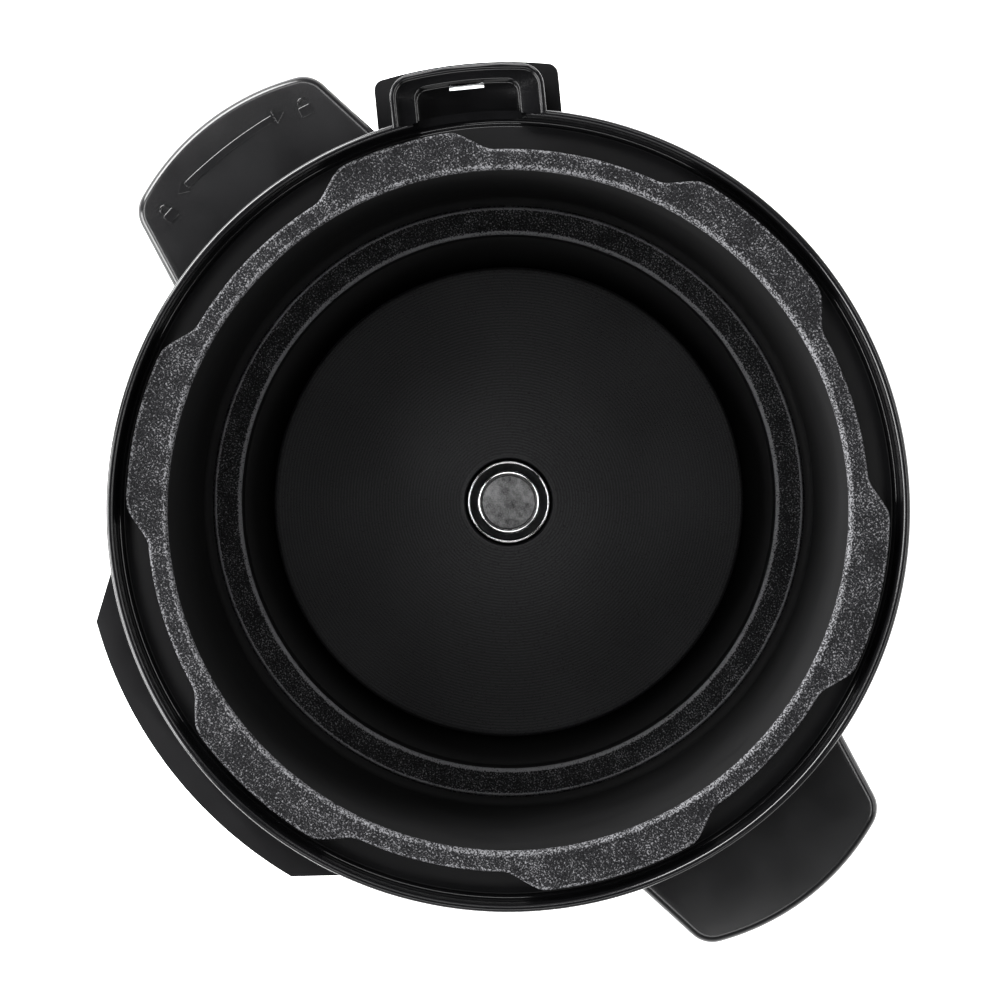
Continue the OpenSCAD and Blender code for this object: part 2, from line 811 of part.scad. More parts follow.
// A moulded key: a curved cap, a lip that keeps it behind the fascia, and a stem to its switch
module key_cap(x, z) {
  lip_out = panel_r - fascia_t - 0.3;
  stem_end = board_y + board_t + tact_h + 0.8;
  color("#2a2a2d") translate([x, 0, z]) union() {
    intersection() {
      front_bar(0, 0, key_w, key_h, 3, 120, 160);
      translate([-x, 0, -20]) pipe(lip_out - 1.4, panel_r + key_proud, 0, 40);
    }
    intersection() {
      front_bar(0, 0, key_w + 2 * key_lip, key_h + 2 * key_lip, 2, 120, 160);
      translate([-x, 0, -20]) pipe(lip_out - 1.4, lip_out, 0, 40);
    }
    translate([0, -stem_end, 0]) rotate([90, 0, 0]) cylinder(h = lip_out * cos(9.5) - stem_end, r = 1.9);
  }
}

// ---- Handles ----

// Plan of a handle along +X: drafted sides, round corners and a slightly curved nose
module handle_plan(reach, corner, inset) {
  nose_r = handle_nose - inset;
  nose_c = [reach - handle_nose, 0];
  side = [sin(handle_draft), cos(handle_draft)];
  along = [cos(handle_draft), -sin(handle_draft)];
  base = (handle_side - inset - corner) * side;
  w = base - nose_c;
  t = -w * along + sqrt(pow(w * along, 2) - w * w + pow(nose_r - corner, 2));
  c = base + t * along;
  toward = c - nose_c;
  lean = atan2(toward[1], toward[0]);
  root = (handle_side - inset) * side + 105 * along;
  half = concat(
    [root],
    arc(c, corner, 90 - handle_draft, lean, 6),
    [for (a = [lean:-lean / 5:0.1]) nose_c + polar(nose_r, a - lean / 5)]
  );
  polygon(concat(half, [for (i = [len(half) - 2:-1:0]) [half[i][0], -half[i][1]]]));
}

module handle_profile() {
  r = handle_reach;
  polygon([
    [128, 214], [r - 3, 211.6], [r, 208.8], [r, 200], [r - 1.5, 198.4], [r - 7, 198.4],
    [141, 190.5], [128, 189]
  ]);
}

module handle(side) {
  rotate([0, 0, side]) difference() {
    intersection() {
      linear_extrude(body_h) handle_plan(handle_reach, handle_corner, 0);
      translate([0, 60, body_h - 225]) rotate([90, 0, 0]) linear_extrude(120) handle_profile();
    }
    translate([0, 0, -1]) cylinder(h = body_h + 20, r = collar_r + 0.05);
    translate([0, 0, body_h - 50]) linear_extrude(32.5) intersection() {
      handle_plan(handle_reach, handle_corner, 4);
      translate([146, -60]) square([40, 120]);
    }
    for (y = [-1, 1]) translate([130, y * handle_screw_y, handle_screw_z]) rotate([0, 90, 0])
      cylinder(h = 13, r = 1.8);
  }
}

module handle_left() {
  color("#0d0d0e") handle(handle_turns[1]);
}

module handle_right() {
  color("#0d0d0e") handle(handle_turns[0]);
}

module shell_screws() {
  seat = shell_r - shell_t - 0.1;
  handle_seat = sqrt(pow(seat, 2) - pow(handle_screw_y + 3.2, 2)) - 0.1;
  holder_seat = sqrt(pow(seat, 2) - pow(holder_screw_y + screw_head_r, 2)) - 0.1;
  color("silver") {
    for (side = handle_turns, y = [-1, 1])
      rotate([0, 0, side]) translate([handle_seat, y * handle_screw_y, handle_screw_z]) rotate([0, 90, 0])
        screw(14, 1.78, 3.2, 2);
    panel_screw_places() translate([seat - 0.1, 0, 0]) rotate([0, 90, 0])
      screw(9, screw_r - 0.02, screw_head_r, screw_head_t);
    spout_place() for (y = [-1, 1]) translate([holder_seat, y * holder_screw_y, holder_mid])
      rotate([0, 90, 0]) screw(5.2, screw_r - 0.02, screw_head_r, screw_head_t);
  }
}

// ---- Condensate cup and its holder ----

module cup_holder() {
  color("#1a1a1c") spout_place() difference() {
    translate([0, 0, holder_low]) linear_extrude(holder_top - holder_low)
      tongue(holder_half, holder_reach, 3.5);
    translate([0, 0, holder_low - 1]) cylinder(h = 90, r = shell_r + gap);
    clear_of_collar();
    translate([cup_back - 0.4, -cup_half - 0.4, cup_low - 0.4]) cube([40, 2 * cup_half + 0.8, cup_top - cup_low + 0.8]);
    translate([138.5, -9, holder_low - 1]) cube([8.5, 18, holder_top - holder_low + 2]);
    for (y = [-1, 1]) translate([120, y * holder_screw_y, holder_mid]) rotate([0, 90, 0])
      cylinder(h = 30, r = screw_r);
  }
}

module condensate_cup() {
  wall = 1.6;
  color([0.86, 0.9, 0.92, 0.35]) spout_place() difference() {
    translate([0, 0, cup_low]) linear_extrude(cup_top - cup_low)
      tongue(cup_half, cup_reach, 2.5, cup_back);
    translate([0, 0, cup_low + wall]) linear_extrude(cup_top)
      tongue(cup_half - wall, cup_reach - wall, 1.2, cup_back + wall);
    for (s = [-1, 1]) translate([cup_reach - 0.7, s * 10, cup_low + 8]) rotate([0, 90, 0])
      cylinder(h = 5, r = 3);
  }
}

// ---- Mains inlet and power board ----

module inlet_socket() {
  outer_w = inlet_w + 2 * inlet_wall;
  outer_h = inlet_h + 2 * inlet_wall;
  mouth = inlet_reach - 0.5;
  color("#151515") translate([0, mouth, inlet_z]) rotate([90, 0, 0]) difference() {
    linear_extrude(24) rounded_rect(outer_w, outer_h, 2);
    translate([0, 0, -1]) linear_extrude(19) difference() {
      square([inlet_w, inlet_h], center = true);
      for (s = [-1, 1]) translate([s * inlet_w / 2, inlet_h / 2]) rotate(45) square([7, 7], center = true);
    }
    for (p = pin_offsets) translate([p[0], p[1], 10]) linear_extrude(20) square([2.1, 4.1], center = true);
  }
}

module inlet_pins() {
  mouth = inlet_reach - 0.5;
  color("#c9a35a") translate([0, mouth, inlet_z]) rotate([90, 0, 0]) for (p = pin_offsets)
    translate([p[0], p[1], 3]) linear_extrude(27) square([2, 4], center = true);
}

module power_board() {
  color("#c9b98a") difference() {
    translate([power_x - power_w / 2, power_y - power_d / 2, power_z]) cube([power_w, power_d, 1.6]);
    board_posts() translate([0, 0, power_z - 1]) cylinder(h = 4, r = 1.6);
  }
}

module relay() {
  color("#1f3f8f") translate([power_x - 24, power_y - 22, power_z + 1.6]) cube([19, 15.5, 15.3]);
}

module transformer() {
  color("#e0c040") translate([power_x - 2, power_y + 6, power_z + 1.6]) {
    cube([22, 18, 4]);
    translate([1, 1, 4 - eps]) cube([20, 16, 12]);
    translate([0, 0, 16 - 2 * eps]) cube([22, 18, 4]);
  }
}

module capacitors() {
  color("#262a4a") for (p = [[10, -10, 5, 18], [2, -24, 4, 14], [-18, 12, 5, 18]])
    translate([power_x + p[0], power_y + p[1], power_z + 1.6]) cylinder(h = p[3], r = p[2]);
}

// Two wires from the inlet and two from the heating element, each ending on the power board
module supply_wires() {
  wire_r = 1.3;
  tail_y = inlet_reach - 30.7;
  z = inlet_z - 2;
  board_end = power_z + 1.7;
  bend_z = board_end + 5;
  element_end = pot_low - 14.2;
  low_z = element_end - 5;
  color("#7a4a2a") {
    wire([[-7, tail_y, z], [-10, 103, z], [-25, 76, z], [-25, 72, bend_z], [-25, 72, board_end]], wire_r);
    wire([[7, tail_y, z], [6, 99, z + 2], [-6, 84, z], [-21, 60, z], [-22, 56, bend_z], [-22, 56, board_end]],
      wire_r);
    wire([[-12.7, 59.7, element_end], [-12.7, 59.7, low_z], [-24, 50, low_z - 5], [-28, 48, bend_z],
      [-28, 48, board_end]], wire_r);
    wire([[12.7, 59.7, element_end], [12.7, 59.7, low_z], [-10, 44, low_z - 5], [-22, 40, bend_z],
      [-22, 40, board_end]], wire_r);
  }
}

base_cover();
rubber_feet();
outer_shell();
collar();
seat_ring();
drain_spout();
flange_gasket();
outer_pot();
pot_floor();
pot_flange();
heat_reflector();
tie_legs();
handle_left();
handle_right();
heating_plate();
heating_element();
terminal_insulators();
plate_studs();
plate_springs();
plate_washers();
plate_nuts();
sensor_shield_ring();
sensor_retainer();
retainer_screws();
switch_striker();
sensor_cap();
sensor_stem();
sensor_clip();
thermistor();
sensor_spring();
switch_bracket();
pressure_switch();
thermal_fuse();
panel_housing();
panel_fascia();
display_lens();
display_module();
indicator_lenses();
control_board();
tact_switches();
key_cap(key_cols[1], key_rows[0]);  // key_start
key_cap(key_cols[0], key_rows[0]);  // key_cancel
key_cap(key_cols[1], key_rows[1]);  // key_plus
key_cap(key_cols[0], key_rows[1]);  // key_minus
key_cap(key_cols[1], key_rows[2]);  // key_timer
key_cap(key_cols[0], key_rows[2]);  // key_pressure
key_cap(key_cols[1], key_rows[3]);  // key_menu
key_cap(key_cols[0], key_rows[3]);  // key_warm
shell_screws();
cup_holder();
condensate_cup();
inlet_socket();
inlet_pins();
power_board();
relay();
transformer();
capacitors();
supply_wires();
base_screws();
board_screws();
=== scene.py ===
"""Base unit of an electric pressure cooker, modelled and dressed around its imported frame."""

import json
import logging
import math
from collections.abc import Callable, Sequence
from dataclasses import dataclass
from enum import Enum

import bmesh
import bpy
from mathutils import Matrix, Vector


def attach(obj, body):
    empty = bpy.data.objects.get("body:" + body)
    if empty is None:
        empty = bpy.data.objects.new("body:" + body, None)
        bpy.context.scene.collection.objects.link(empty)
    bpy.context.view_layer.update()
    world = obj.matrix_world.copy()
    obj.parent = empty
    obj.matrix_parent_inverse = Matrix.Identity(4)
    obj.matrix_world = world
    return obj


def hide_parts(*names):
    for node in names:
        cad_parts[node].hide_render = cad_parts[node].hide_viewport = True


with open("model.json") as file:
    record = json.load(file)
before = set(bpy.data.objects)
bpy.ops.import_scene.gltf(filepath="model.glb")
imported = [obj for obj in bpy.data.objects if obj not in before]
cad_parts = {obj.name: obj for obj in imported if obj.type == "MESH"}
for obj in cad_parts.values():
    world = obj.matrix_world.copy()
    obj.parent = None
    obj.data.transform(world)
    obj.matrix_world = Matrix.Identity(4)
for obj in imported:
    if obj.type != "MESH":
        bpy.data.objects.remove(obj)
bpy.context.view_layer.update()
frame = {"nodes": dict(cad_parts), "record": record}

LOG = logging.getLogger("cooker")
MM = 0.001
TURN = 2 * math.pi
Point = tuple[float, float, float]
Profile = list[tuple[float, float]]
Colour = tuple[float, float, float]
Rgba = tuple[float, float, float, float]
Socket = bpy.types.NodeSocket
SPOUT_ANGLE = 148.3


# ---- Small geometry helpers, in millimetres and degrees ----


def polar(radius: float, angle: float, z: float = 0.0) -> Point:
    """A point at a radius and an angle about the axis, at height z."""
    turn = math.radians(angle)
    return (radius * math.cos(turn), radius * math.sin(turn), z)


def arc(centre: tuple[float, float], radius: float, start: float, end: float, steps: int) -> Profile:
    """Points along a circular arc.

    Args:
        centre: The arc's centre.
        radius: Its radius.
        start: Angle of the first point.
        end: Angle of the last point.
        steps: Number of equal steps between them.

    Returns:
        The points, both ends included.
    """
    points = []
    for i in range(steps + 1):
        turn = math.radians(start + (end - start) * i / steps)
        points.append((centre[0] + radius * math.cos(turn), centre[1] + radius * math.sin(turn)))
    return points


def rounded_rect(x0: float, x1: float, y0: float, y1: float, radius: float, steps: int = 6) -> Profile:
    """The outline of a rectangle with round corners, counter-clockwise.

    Args:
        x0: Lowest x.
        x1: Highest x.
        y0: Lowest y.
        y1: Highest y.
        radius: Corner radius.
        steps: Steps in each corner.

    Returns:
        The outline's points.
    """
    corners = ((x1, y0, -90), (x1, y1, 0), (x0, y1, 90), (x0, y0, 180))
    outline: Profile = []
    for x, y, start in corners:
        centre = (x - math.copysign(radius, x - (x0 + x1) / 2), y - math.copysign(radius, y - (y0 + y1) / 2))
        outline += arc(centre, radius, start, start + 90, steps)
    return outline


def turned_plan(points: Profile, angle: float) -> Profile:
    """The points turned about the axis by an angle."""
    c, s = math.cos(math.radians(angle)), math.sin(math.radians(angle))
    return [(x * c - y * s, x * s + y * c) for x, y in points]


# ---- Finishes ----


@dataclass(frozen=True)
class Finish:
    """A surface finish whose colour, gloss and relief vary softly over the piece.

    Attributes:
        colour: Middle colour, linear.
        rough: Middle roughness.
        metal: 0 for a plastic or paint, 1 for bare metal.
        spread: Share by which the colour varies.
        rough_spread: Amount by which the roughness varies.
        grain: Size of the fine grain, in millimetres.
        relief: Height of the grain, in millimetres.
        coat: Weight of a clear coat.
        clear: Transmission weight.
        specular: Specular level of the base.
    """

    colour: Colour
    rough: float = 0.4
    metal: float = 0.0
    spread: float = 0.12
    rough_spread: float = 0.06
    grain: float = 0.8
    relief: float = 0.01
    coat: float = 0.0
    clear: float = 0.0
    specular: float = 0.5

    def build(self, name: str) -> bpy.types.Material:
        """Make the material.

        Args:
            name: Name of the material.

        Returns:
            The material, ready to assign.
        """
        material = bpy.data.materials.new(name)
        material.use_nodes = True
        tree = NodeSheet(material.node_tree)
        self.lay(tree)
        return material

    def lay(self, tree: "NodeSheet") -> None:
        """Lay the finish's nodes.

        Args:
            tree: The material's node tree.
        """
        fine = tree.noise(self.grain, detail=3)
        broad = tree.noise(self.grain * 40, detail=2)
        blend = tree.mix(fine, broad, 0.5)
        self.vary_colour(tree, blend)
        self.vary_gloss(tree, blend)
        if self.relief:
            tree.bump(fine, self.relief)
        self.constants(tree)

    def vary_colour(self, tree: "NodeSheet", factor: Socket) -> None:
        """Let the colour follow a factor, by the finish's spread to either side."""
        tree.ramp_to("Base Color", factor, self.shade(1 - self.spread), self.shade(1 + self.spread))

    def vary_gloss(self, tree: "NodeSheet", factor: Socket) -> None:
        """Let the roughness follow a factor, by its own spread to either side."""
        tree.range_to("Roughness", factor, self.rough - self.rough_spread, self.rough + self.rough_spread)

    def constants(self, tree: "NodeSheet") -> None:
        """Set what is the same all over the surface on the shader itself.

        Args:
            tree: The material's node tree.
        """
        tree.set("Metallic", self.metal)
        tree.set("Coat Weight", self.coat)
        tree.set("Coat Roughness", 0.06)
        tree.set("Transmission Weight", self.clear)
        tree.set("Specular IOR Level", self.specular)

    def shade(self, factor: float) -> Rgba:
        """The finish's colour scaled by a factor, as RGBA."""
        red, green, blue = (min(1.0, c * factor) for c in self.colour)
        return (red, green, blue, 1.0)


class NodeSheet:
    """A material's node tree, with the few kinds of node that the finishes use."""

    def __init__(self, tree: bpy.types.NodeTree) -> None:
        """Take the tree's own shader and give it object coordinates.

        Args:
            tree: The new material's node tree.
        """
        self.tree = tree
        self.shader = next(n for n in tree.nodes if n.type == "BSDF_PRINCIPLED")
        self.place = tree.nodes.new("ShaderNodeTexCoord").outputs["Object"]

    def set(self, socket: str, value: float) -> None:
        """Set a constant on the shader's own socket."""
        self.shader.inputs[socket].default_value = value

    def link(self, source: Socket, target: Socket) -> None:
        """Link two sockets."""
        self.tree.links.new(source, target)

    def mapped(self, scale: Point) -> Socket:
        """Object coordinates scaled along each axis.

        Args:
            scale: The scale along x, y and z.

        Returns:
            The vector socket.
        """
        node = self.tree.nodes.new("ShaderNodeMapping")
        node.inputs["Scale"].default_value = scale
        self.link(self.place, node.inputs["Vector"])
        return node.outputs["Vector"]

    def noise(self, size: float, detail: float = 2.0, stretch: Point = (1, 1, 1), warp: float = 0.0) -> Socket:
        """Noise of a size in millimetres.

        Args:
            size: Size of its blobs.
            detail: Octaves of finer detail.
            stretch: Scale of the coordinates along each axis.
            warp: Distortion.

        Returns:
            The factor socket.
        """
        node = self.tree.nodes.new("ShaderNodeTexNoise")
        node.inputs["Scale"].default_value = 1 / (size * MM)
        node.inputs["Detail"].default_value = detail
        node.inputs["Distortion"].default_value = warp
        self.link(self.mapped(stretch), node.inputs["Vector"])
        return node.outputs["Fac"]

    def math(self, kind: str, a: Socket | float, b: Socket | float = 0.0) -> Socket:
        """A Math node on sockets or numbers.

        Args:
            kind: The node's operation.
            a: Its first value.
            b: Its second value.

        Returns:
            The result's socket.
        """
        node = self.tree.nodes.new("ShaderNodeMath")
        node.operation = kind
        for socket, value in zip(node.inputs, (a, b)):
            if isinstance(value, Socket):
                self.link(value, socket)
            else:
                socket.default_value = value
        return node.outputs[0]

    def mix(self, a: Socket, b: Socket, share: float) -> Socket:
        """Two factors mixed, with the share that comes from b."""
        return self.math("ADD", self.math("MULTIPLY", a, 1 - share), self.math("MULTIPLY", b, share))

    def axes(self) -> tuple[Socket, Socket, Socket]:
        """The object's x, y and z, in metres."""
        node = self.tree.nodes.new("ShaderNodeSeparateXYZ")
        self.link(self.place, node.inputs[0])
        return (node.outputs[0], node.outputs[1], node.outputs[2])

    def radius(self) -> Socket:
        """Distance from the upright axis, in metres."""
        x, y, _ = self.axes()
        return self.math("SQRT", self.math("ADD", self.math("MULTIPLY", x, x), self.math("MULTIPLY", y, y)))

    def ramp(self, factor: Socket, stops: Sequence[tuple[float, Rgba]]) -> Socket:
        """A colour ramp with the given stops.

        Args:
            factor: What drives the ramp.
            stops: Each stop's position and colour.

        Returns:
            The colour socket.
        """
        node = self.tree.nodes.new("ShaderNodeValToRGB")
        elements = node.color_ramp.elements
        while len(elements) < len(stops):
            elements.new(0.5)
        for element, (position, colour) in zip(elements, stops):
            element.position = position
            element.color = colour
        self.link(factor, node.inputs["Fac"])
        return node.outputs["Color"]

    def ramp_to(self, socket: str, factor: Socket, low: Rgba, high: Rgba) -> None:
        """Drive one of the shader's sockets by a two-colour ramp over noise."""
        self.link(self.ramp(factor, ((0.3, low), (0.7, high))), self.shader.inputs[socket])

    def range_of(self, factor: Socket, low: float, high: float, start: float = 0.3, end: float = 0.7) -> Socket:
        """A factor mapped from start..end to low..high.

        Args:
            factor: The factor.
            low: Result at start.
            high: Result at end.
            start: Lowest value of the factor.
            end: Highest value of the factor.

        Returns:
            The result's socket.
        """
        node = self.tree.nodes.new("ShaderNodeMapRange")
        for name, value in (("From Min", start), ("From Max", end), ("To Min", low), ("To Max", high)):
            node.inputs[name].default_value = value
        self.link(factor, node.inputs["Value"])
        return node.outputs["Result"]

    def range_to(self, socket: str, factor: Socket, low: float, high: float) -> None:
        """Drive one of the shader's sockets by a factor mapped to low..high."""
        self.link(self.range_of(factor, max(low, 0.02), high), self.shader.inputs[socket])

    def bump(self, height: Socket, depth: float, strength: float = 1.0) -> None:
        """Raise the surface by a height socket, depth millimetres for a step of one.

        Args:
            height: What drives the relief.
            depth: Height of a step of one, in millimetres.
            strength: Strength of the relief.
        """
        node = self.tree.nodes.new("ShaderNodeBump")
        node.inputs["Distance"].default_value = depth * MM
        node.inputs["Strength"].default_value = strength
        self.link(height, node.inputs["Height"])
        normal = self.shader.inputs["Normal"]
        if normal.is_linked:
            self.link(normal.links[0].from_socket, node.inputs["Normal"])
        self.link(node.outputs["Normal"], normal)

    def attribute(self, name: str) -> Socket:
        """A factor that the piece's mesh carries.

        Args:
            name: Name of the attribute.

        Returns:
            The factor socket.
        """
        node = self.tree.nodes.new("ShaderNodeAttribute")
        node.attribute_name = name
        return node.outputs["Fac"]


@dataclass(frozen=True)
class Hammered(Finish):
    """Black hammer paint: raised dots of grey glitter with painted glints on them, and painted highlights along the
    rounded edges.

    Attributes:
        fleck: Colour of the flecks.
        edge: Attribute that is above 0 along the rounded edges that carry a painted highlight.
        edge_highlight: How far the painted highlight on such an edge shifts the flecks towards the bright end.
        glint: How many times brighter than a fleck its painted glint is.
    """

    fleck: Colour = (0.2, 0.2, 0.205)
    edge: str = ""
    edge_highlight: float = 0.1
    glint: float = 20

    def lay(self, tree: NodeSheet) -> None:
        """Lay the flecks with their painted glints, their relief and the painted highlights along the edges.

        Args:
            tree: The material's node tree.
        """
        dots = tree.noise(self.grain, detail=1.5, warp=0.6)
        drift = tree.noise(self.grain * 14, detail=2)
        factor = tree.mix(dots, drift, 0.18)
        # Painted highlight: along the rounded edges the flecks are pushed towards their bright end.
        if self.edge:
            factor = tree.math("ADD", factor, tree.math("MULTIPLY", tree.attribute(self.edge), self.edge_highlight))
        fleck = (*self.fleck, 1.0)
        # The brightest stop is a painted glint on the flecks, on top of their own grey.
        bright = (*(min(1.0, self.glint * c) for c in self.fleck), 1.0)
        stops = ((0.44, self.shade(1)), (0.5, self.shade(4)), (0.56, fleck), (0.68, bright))
        tree.link(tree.ramp(factor, stops), tree.shader.inputs["Base Color"])
        tree.range_to("Roughness", dots, self.rough + self.rough_spread, self.rough - self.rough_spread)
        tree.bump(dots, self.relief)
        self.constants(tree)


@dataclass(frozen=True)
class Brushed(Finish):
    """Metal brushed in fine lines around the upright axis."""

    def lay(self, tree: NodeSheet) -> None:
        """Lay lines that run level around the piece.

        Args:
            tree: The material's node tree.
        """
        lines = tree.noise(self.grain, detail=3, stretch=(0.004, 0.004, 1))
        smears = tree.noise(self.grain * 60, detail=2, stretch=(0.3, 0.3, 1))
        blend = tree.mix(lines, smears, 0.35)
        self.vary_colour(tree, blend)
        self.vary_gloss(tree, blend)
        tree.bump(lines, self.relief)
        self.constants(tree)


@dataclass(frozen=True)
class Turned(Finish):
    """A face cut on a lathe: fine rings about the upright axis under a dark coating.

    Attributes:
        pitch: Distance between rings, in millimetres.
        ring_share: How much the rings show in the tone.
        drift: Size of the slow change of tone, in millimetres.
    """

    pitch: float = 1.1
    ring_share: float = 0.16
    drift: float = 45

    def lay(self, tree: NodeSheet) -> None:
        """Lay the rings, the cast grain and a slow change of tone.

        Args:
            tree: The material's node tree.
        """
        rings = tree.math("SINE", tree.math("MULTIPLY", tree.radius(), TURN / (self.pitch * MM)))
        grain = tree.noise(self.grain, detail=3)
        broad = tree.noise(self.drift, detail=1)
        tone = tree.math("ADD", tree.math("MULTIPLY", rings, self.ring_share), tree.mix(grain, broad, 0.5))
        self.vary_colour(tree, tone)
        self.vary_gloss(tree, grain)
        tree.bump(grain, self.relief)
        self.constants(tree)


@dataclass(frozen=True)
class Frosted(Finish):
    """Blasted metal: mottled grey with fine bright and dark grains."""

    def lay(self, tree: NodeSheet) -> None:
        """Lay mottling at three sizes.

        Args:
            tree: The material's node tree.
        """
        grain = tree.noise(self.grain, detail=2)
        blotch = tree.noise(self.grain * 5, detail=3)
        drift = tree.noise(self.grain * 22, detail=1)
        tone = tree.mix(tree.mix(grain, blotch, 0.5), drift, 0.25)
        dark, bright = self.shade(1 - self.spread), self.shade(1 + self.spread)
        stops = ((0.36, dark), (0.5, self.shade(1)), (0.62, bright))
        tree.link(tree.ramp(tone, stops), tree.shader.inputs["Base Color"])
        self.vary_gloss(tree, blotch)
        tree.bump(grain, self.relief)
        self.constants(tree)


@dataclass(frozen=True)
class Striped(Finish):
    """Bands wound or moulded around one axis.

    Attributes:
        second: Colour of every other band.
        pitch: Distance between bands, in millimetres.
        axis: 0 for bands along x, 1 along y, 2 along z.
    """

    second: Colour = (0.5, 0.5, 0.5)
    pitch: float = 0.6
    axis: int = 2

    def lay(self, tree: NodeSheet) -> None:
        """Lay the bands and the grain between them.

        Args:
            tree: The material's node tree.
        """
        wave = tree.math("SINE", tree.math("MULTIPLY", tree.axes()[self.axis], TURN / (self.pitch * MM)))
        grain = tree.noise(self.grain, detail=3)
        tone = tree.math("ADD", tree.math("MULTIPLY", wave, 0.4), tree.math("MULTIPLY", grain, 0.6))
        stops = ((0.1, self.shade(1)), (0.6, (*self.second, 1.0)))
        tree.link(tree.ramp(tone, stops), tree.shader.inputs["Base Color"])
        self.vary_gloss(tree, grain)
        tree.bump(tone, self.relief)
        self.constants(tree)


@dataclass(frozen=True)
class Etched(Finish):
    """A circuit board: lacquered tracks that run in two directions over the base.

    Attributes:
        track: Colour of the tracks.
        normal_axis: Axis that the board faces: 1 for y, 2 for z.
        row_pitch: Distance between tracks one way, in millimetres.
        column_pitch: Distance between tracks the other way, in millimetres.
        patch: Size of the areas that run one way, in millimetres.
    """

    track: Colour = (0.1, 0.3, 0.12)
    normal_axis: int = 2
    row_pitch: float = 2.4
    column_pitch: float = 3.1
    patch: float = 16

    def lay(self, tree: NodeSheet) -> None:
        """Lay rows of tracks, broken into runs by coarse cells.

        Args:
            tree: The material's node tree.
        """
        axes = tree.axes()
        across = axes[0]
        along = axes[1] if self.normal_axis == 2 else axes[2]
        rows = tree.math("SINE", tree.math("MULTIPLY", across, TURN / (self.row_pitch * MM)))
        columns = tree.math("SINE", tree.math("MULTIPLY", along, TURN / (self.column_pitch * MM)))
        patch = tree.range_of(tree.noise(self.patch, detail=0), 0, 1, 0.49, 0.51)
        other = tree.math("SUBTRACT", 1.0, patch)
        choice = tree.math("ADD", tree.math("MULTIPLY", rows, patch), tree.math("MULTIPLY", columns, other))
        tracks = tree.range_of(choice, 0, 1, 0.55, 0.7)
        grain = tree.noise(self.grain, detail=2)
        tone = tree.math("ADD", tree.math("MULTIPLY", tracks, 0.75), tree.math("MULTIPLY", grain, 0.2))
        stops = ((0.1, self.shade(1)), (0.8, (*self.track, 1.0)))
        tree.link(tree.ramp(tone, stops), tree.shader.inputs["Base Color"])
        self.vary_gloss(tree, grain)
        tree.bump(tracks, self.relief)
        self.constants(tree)


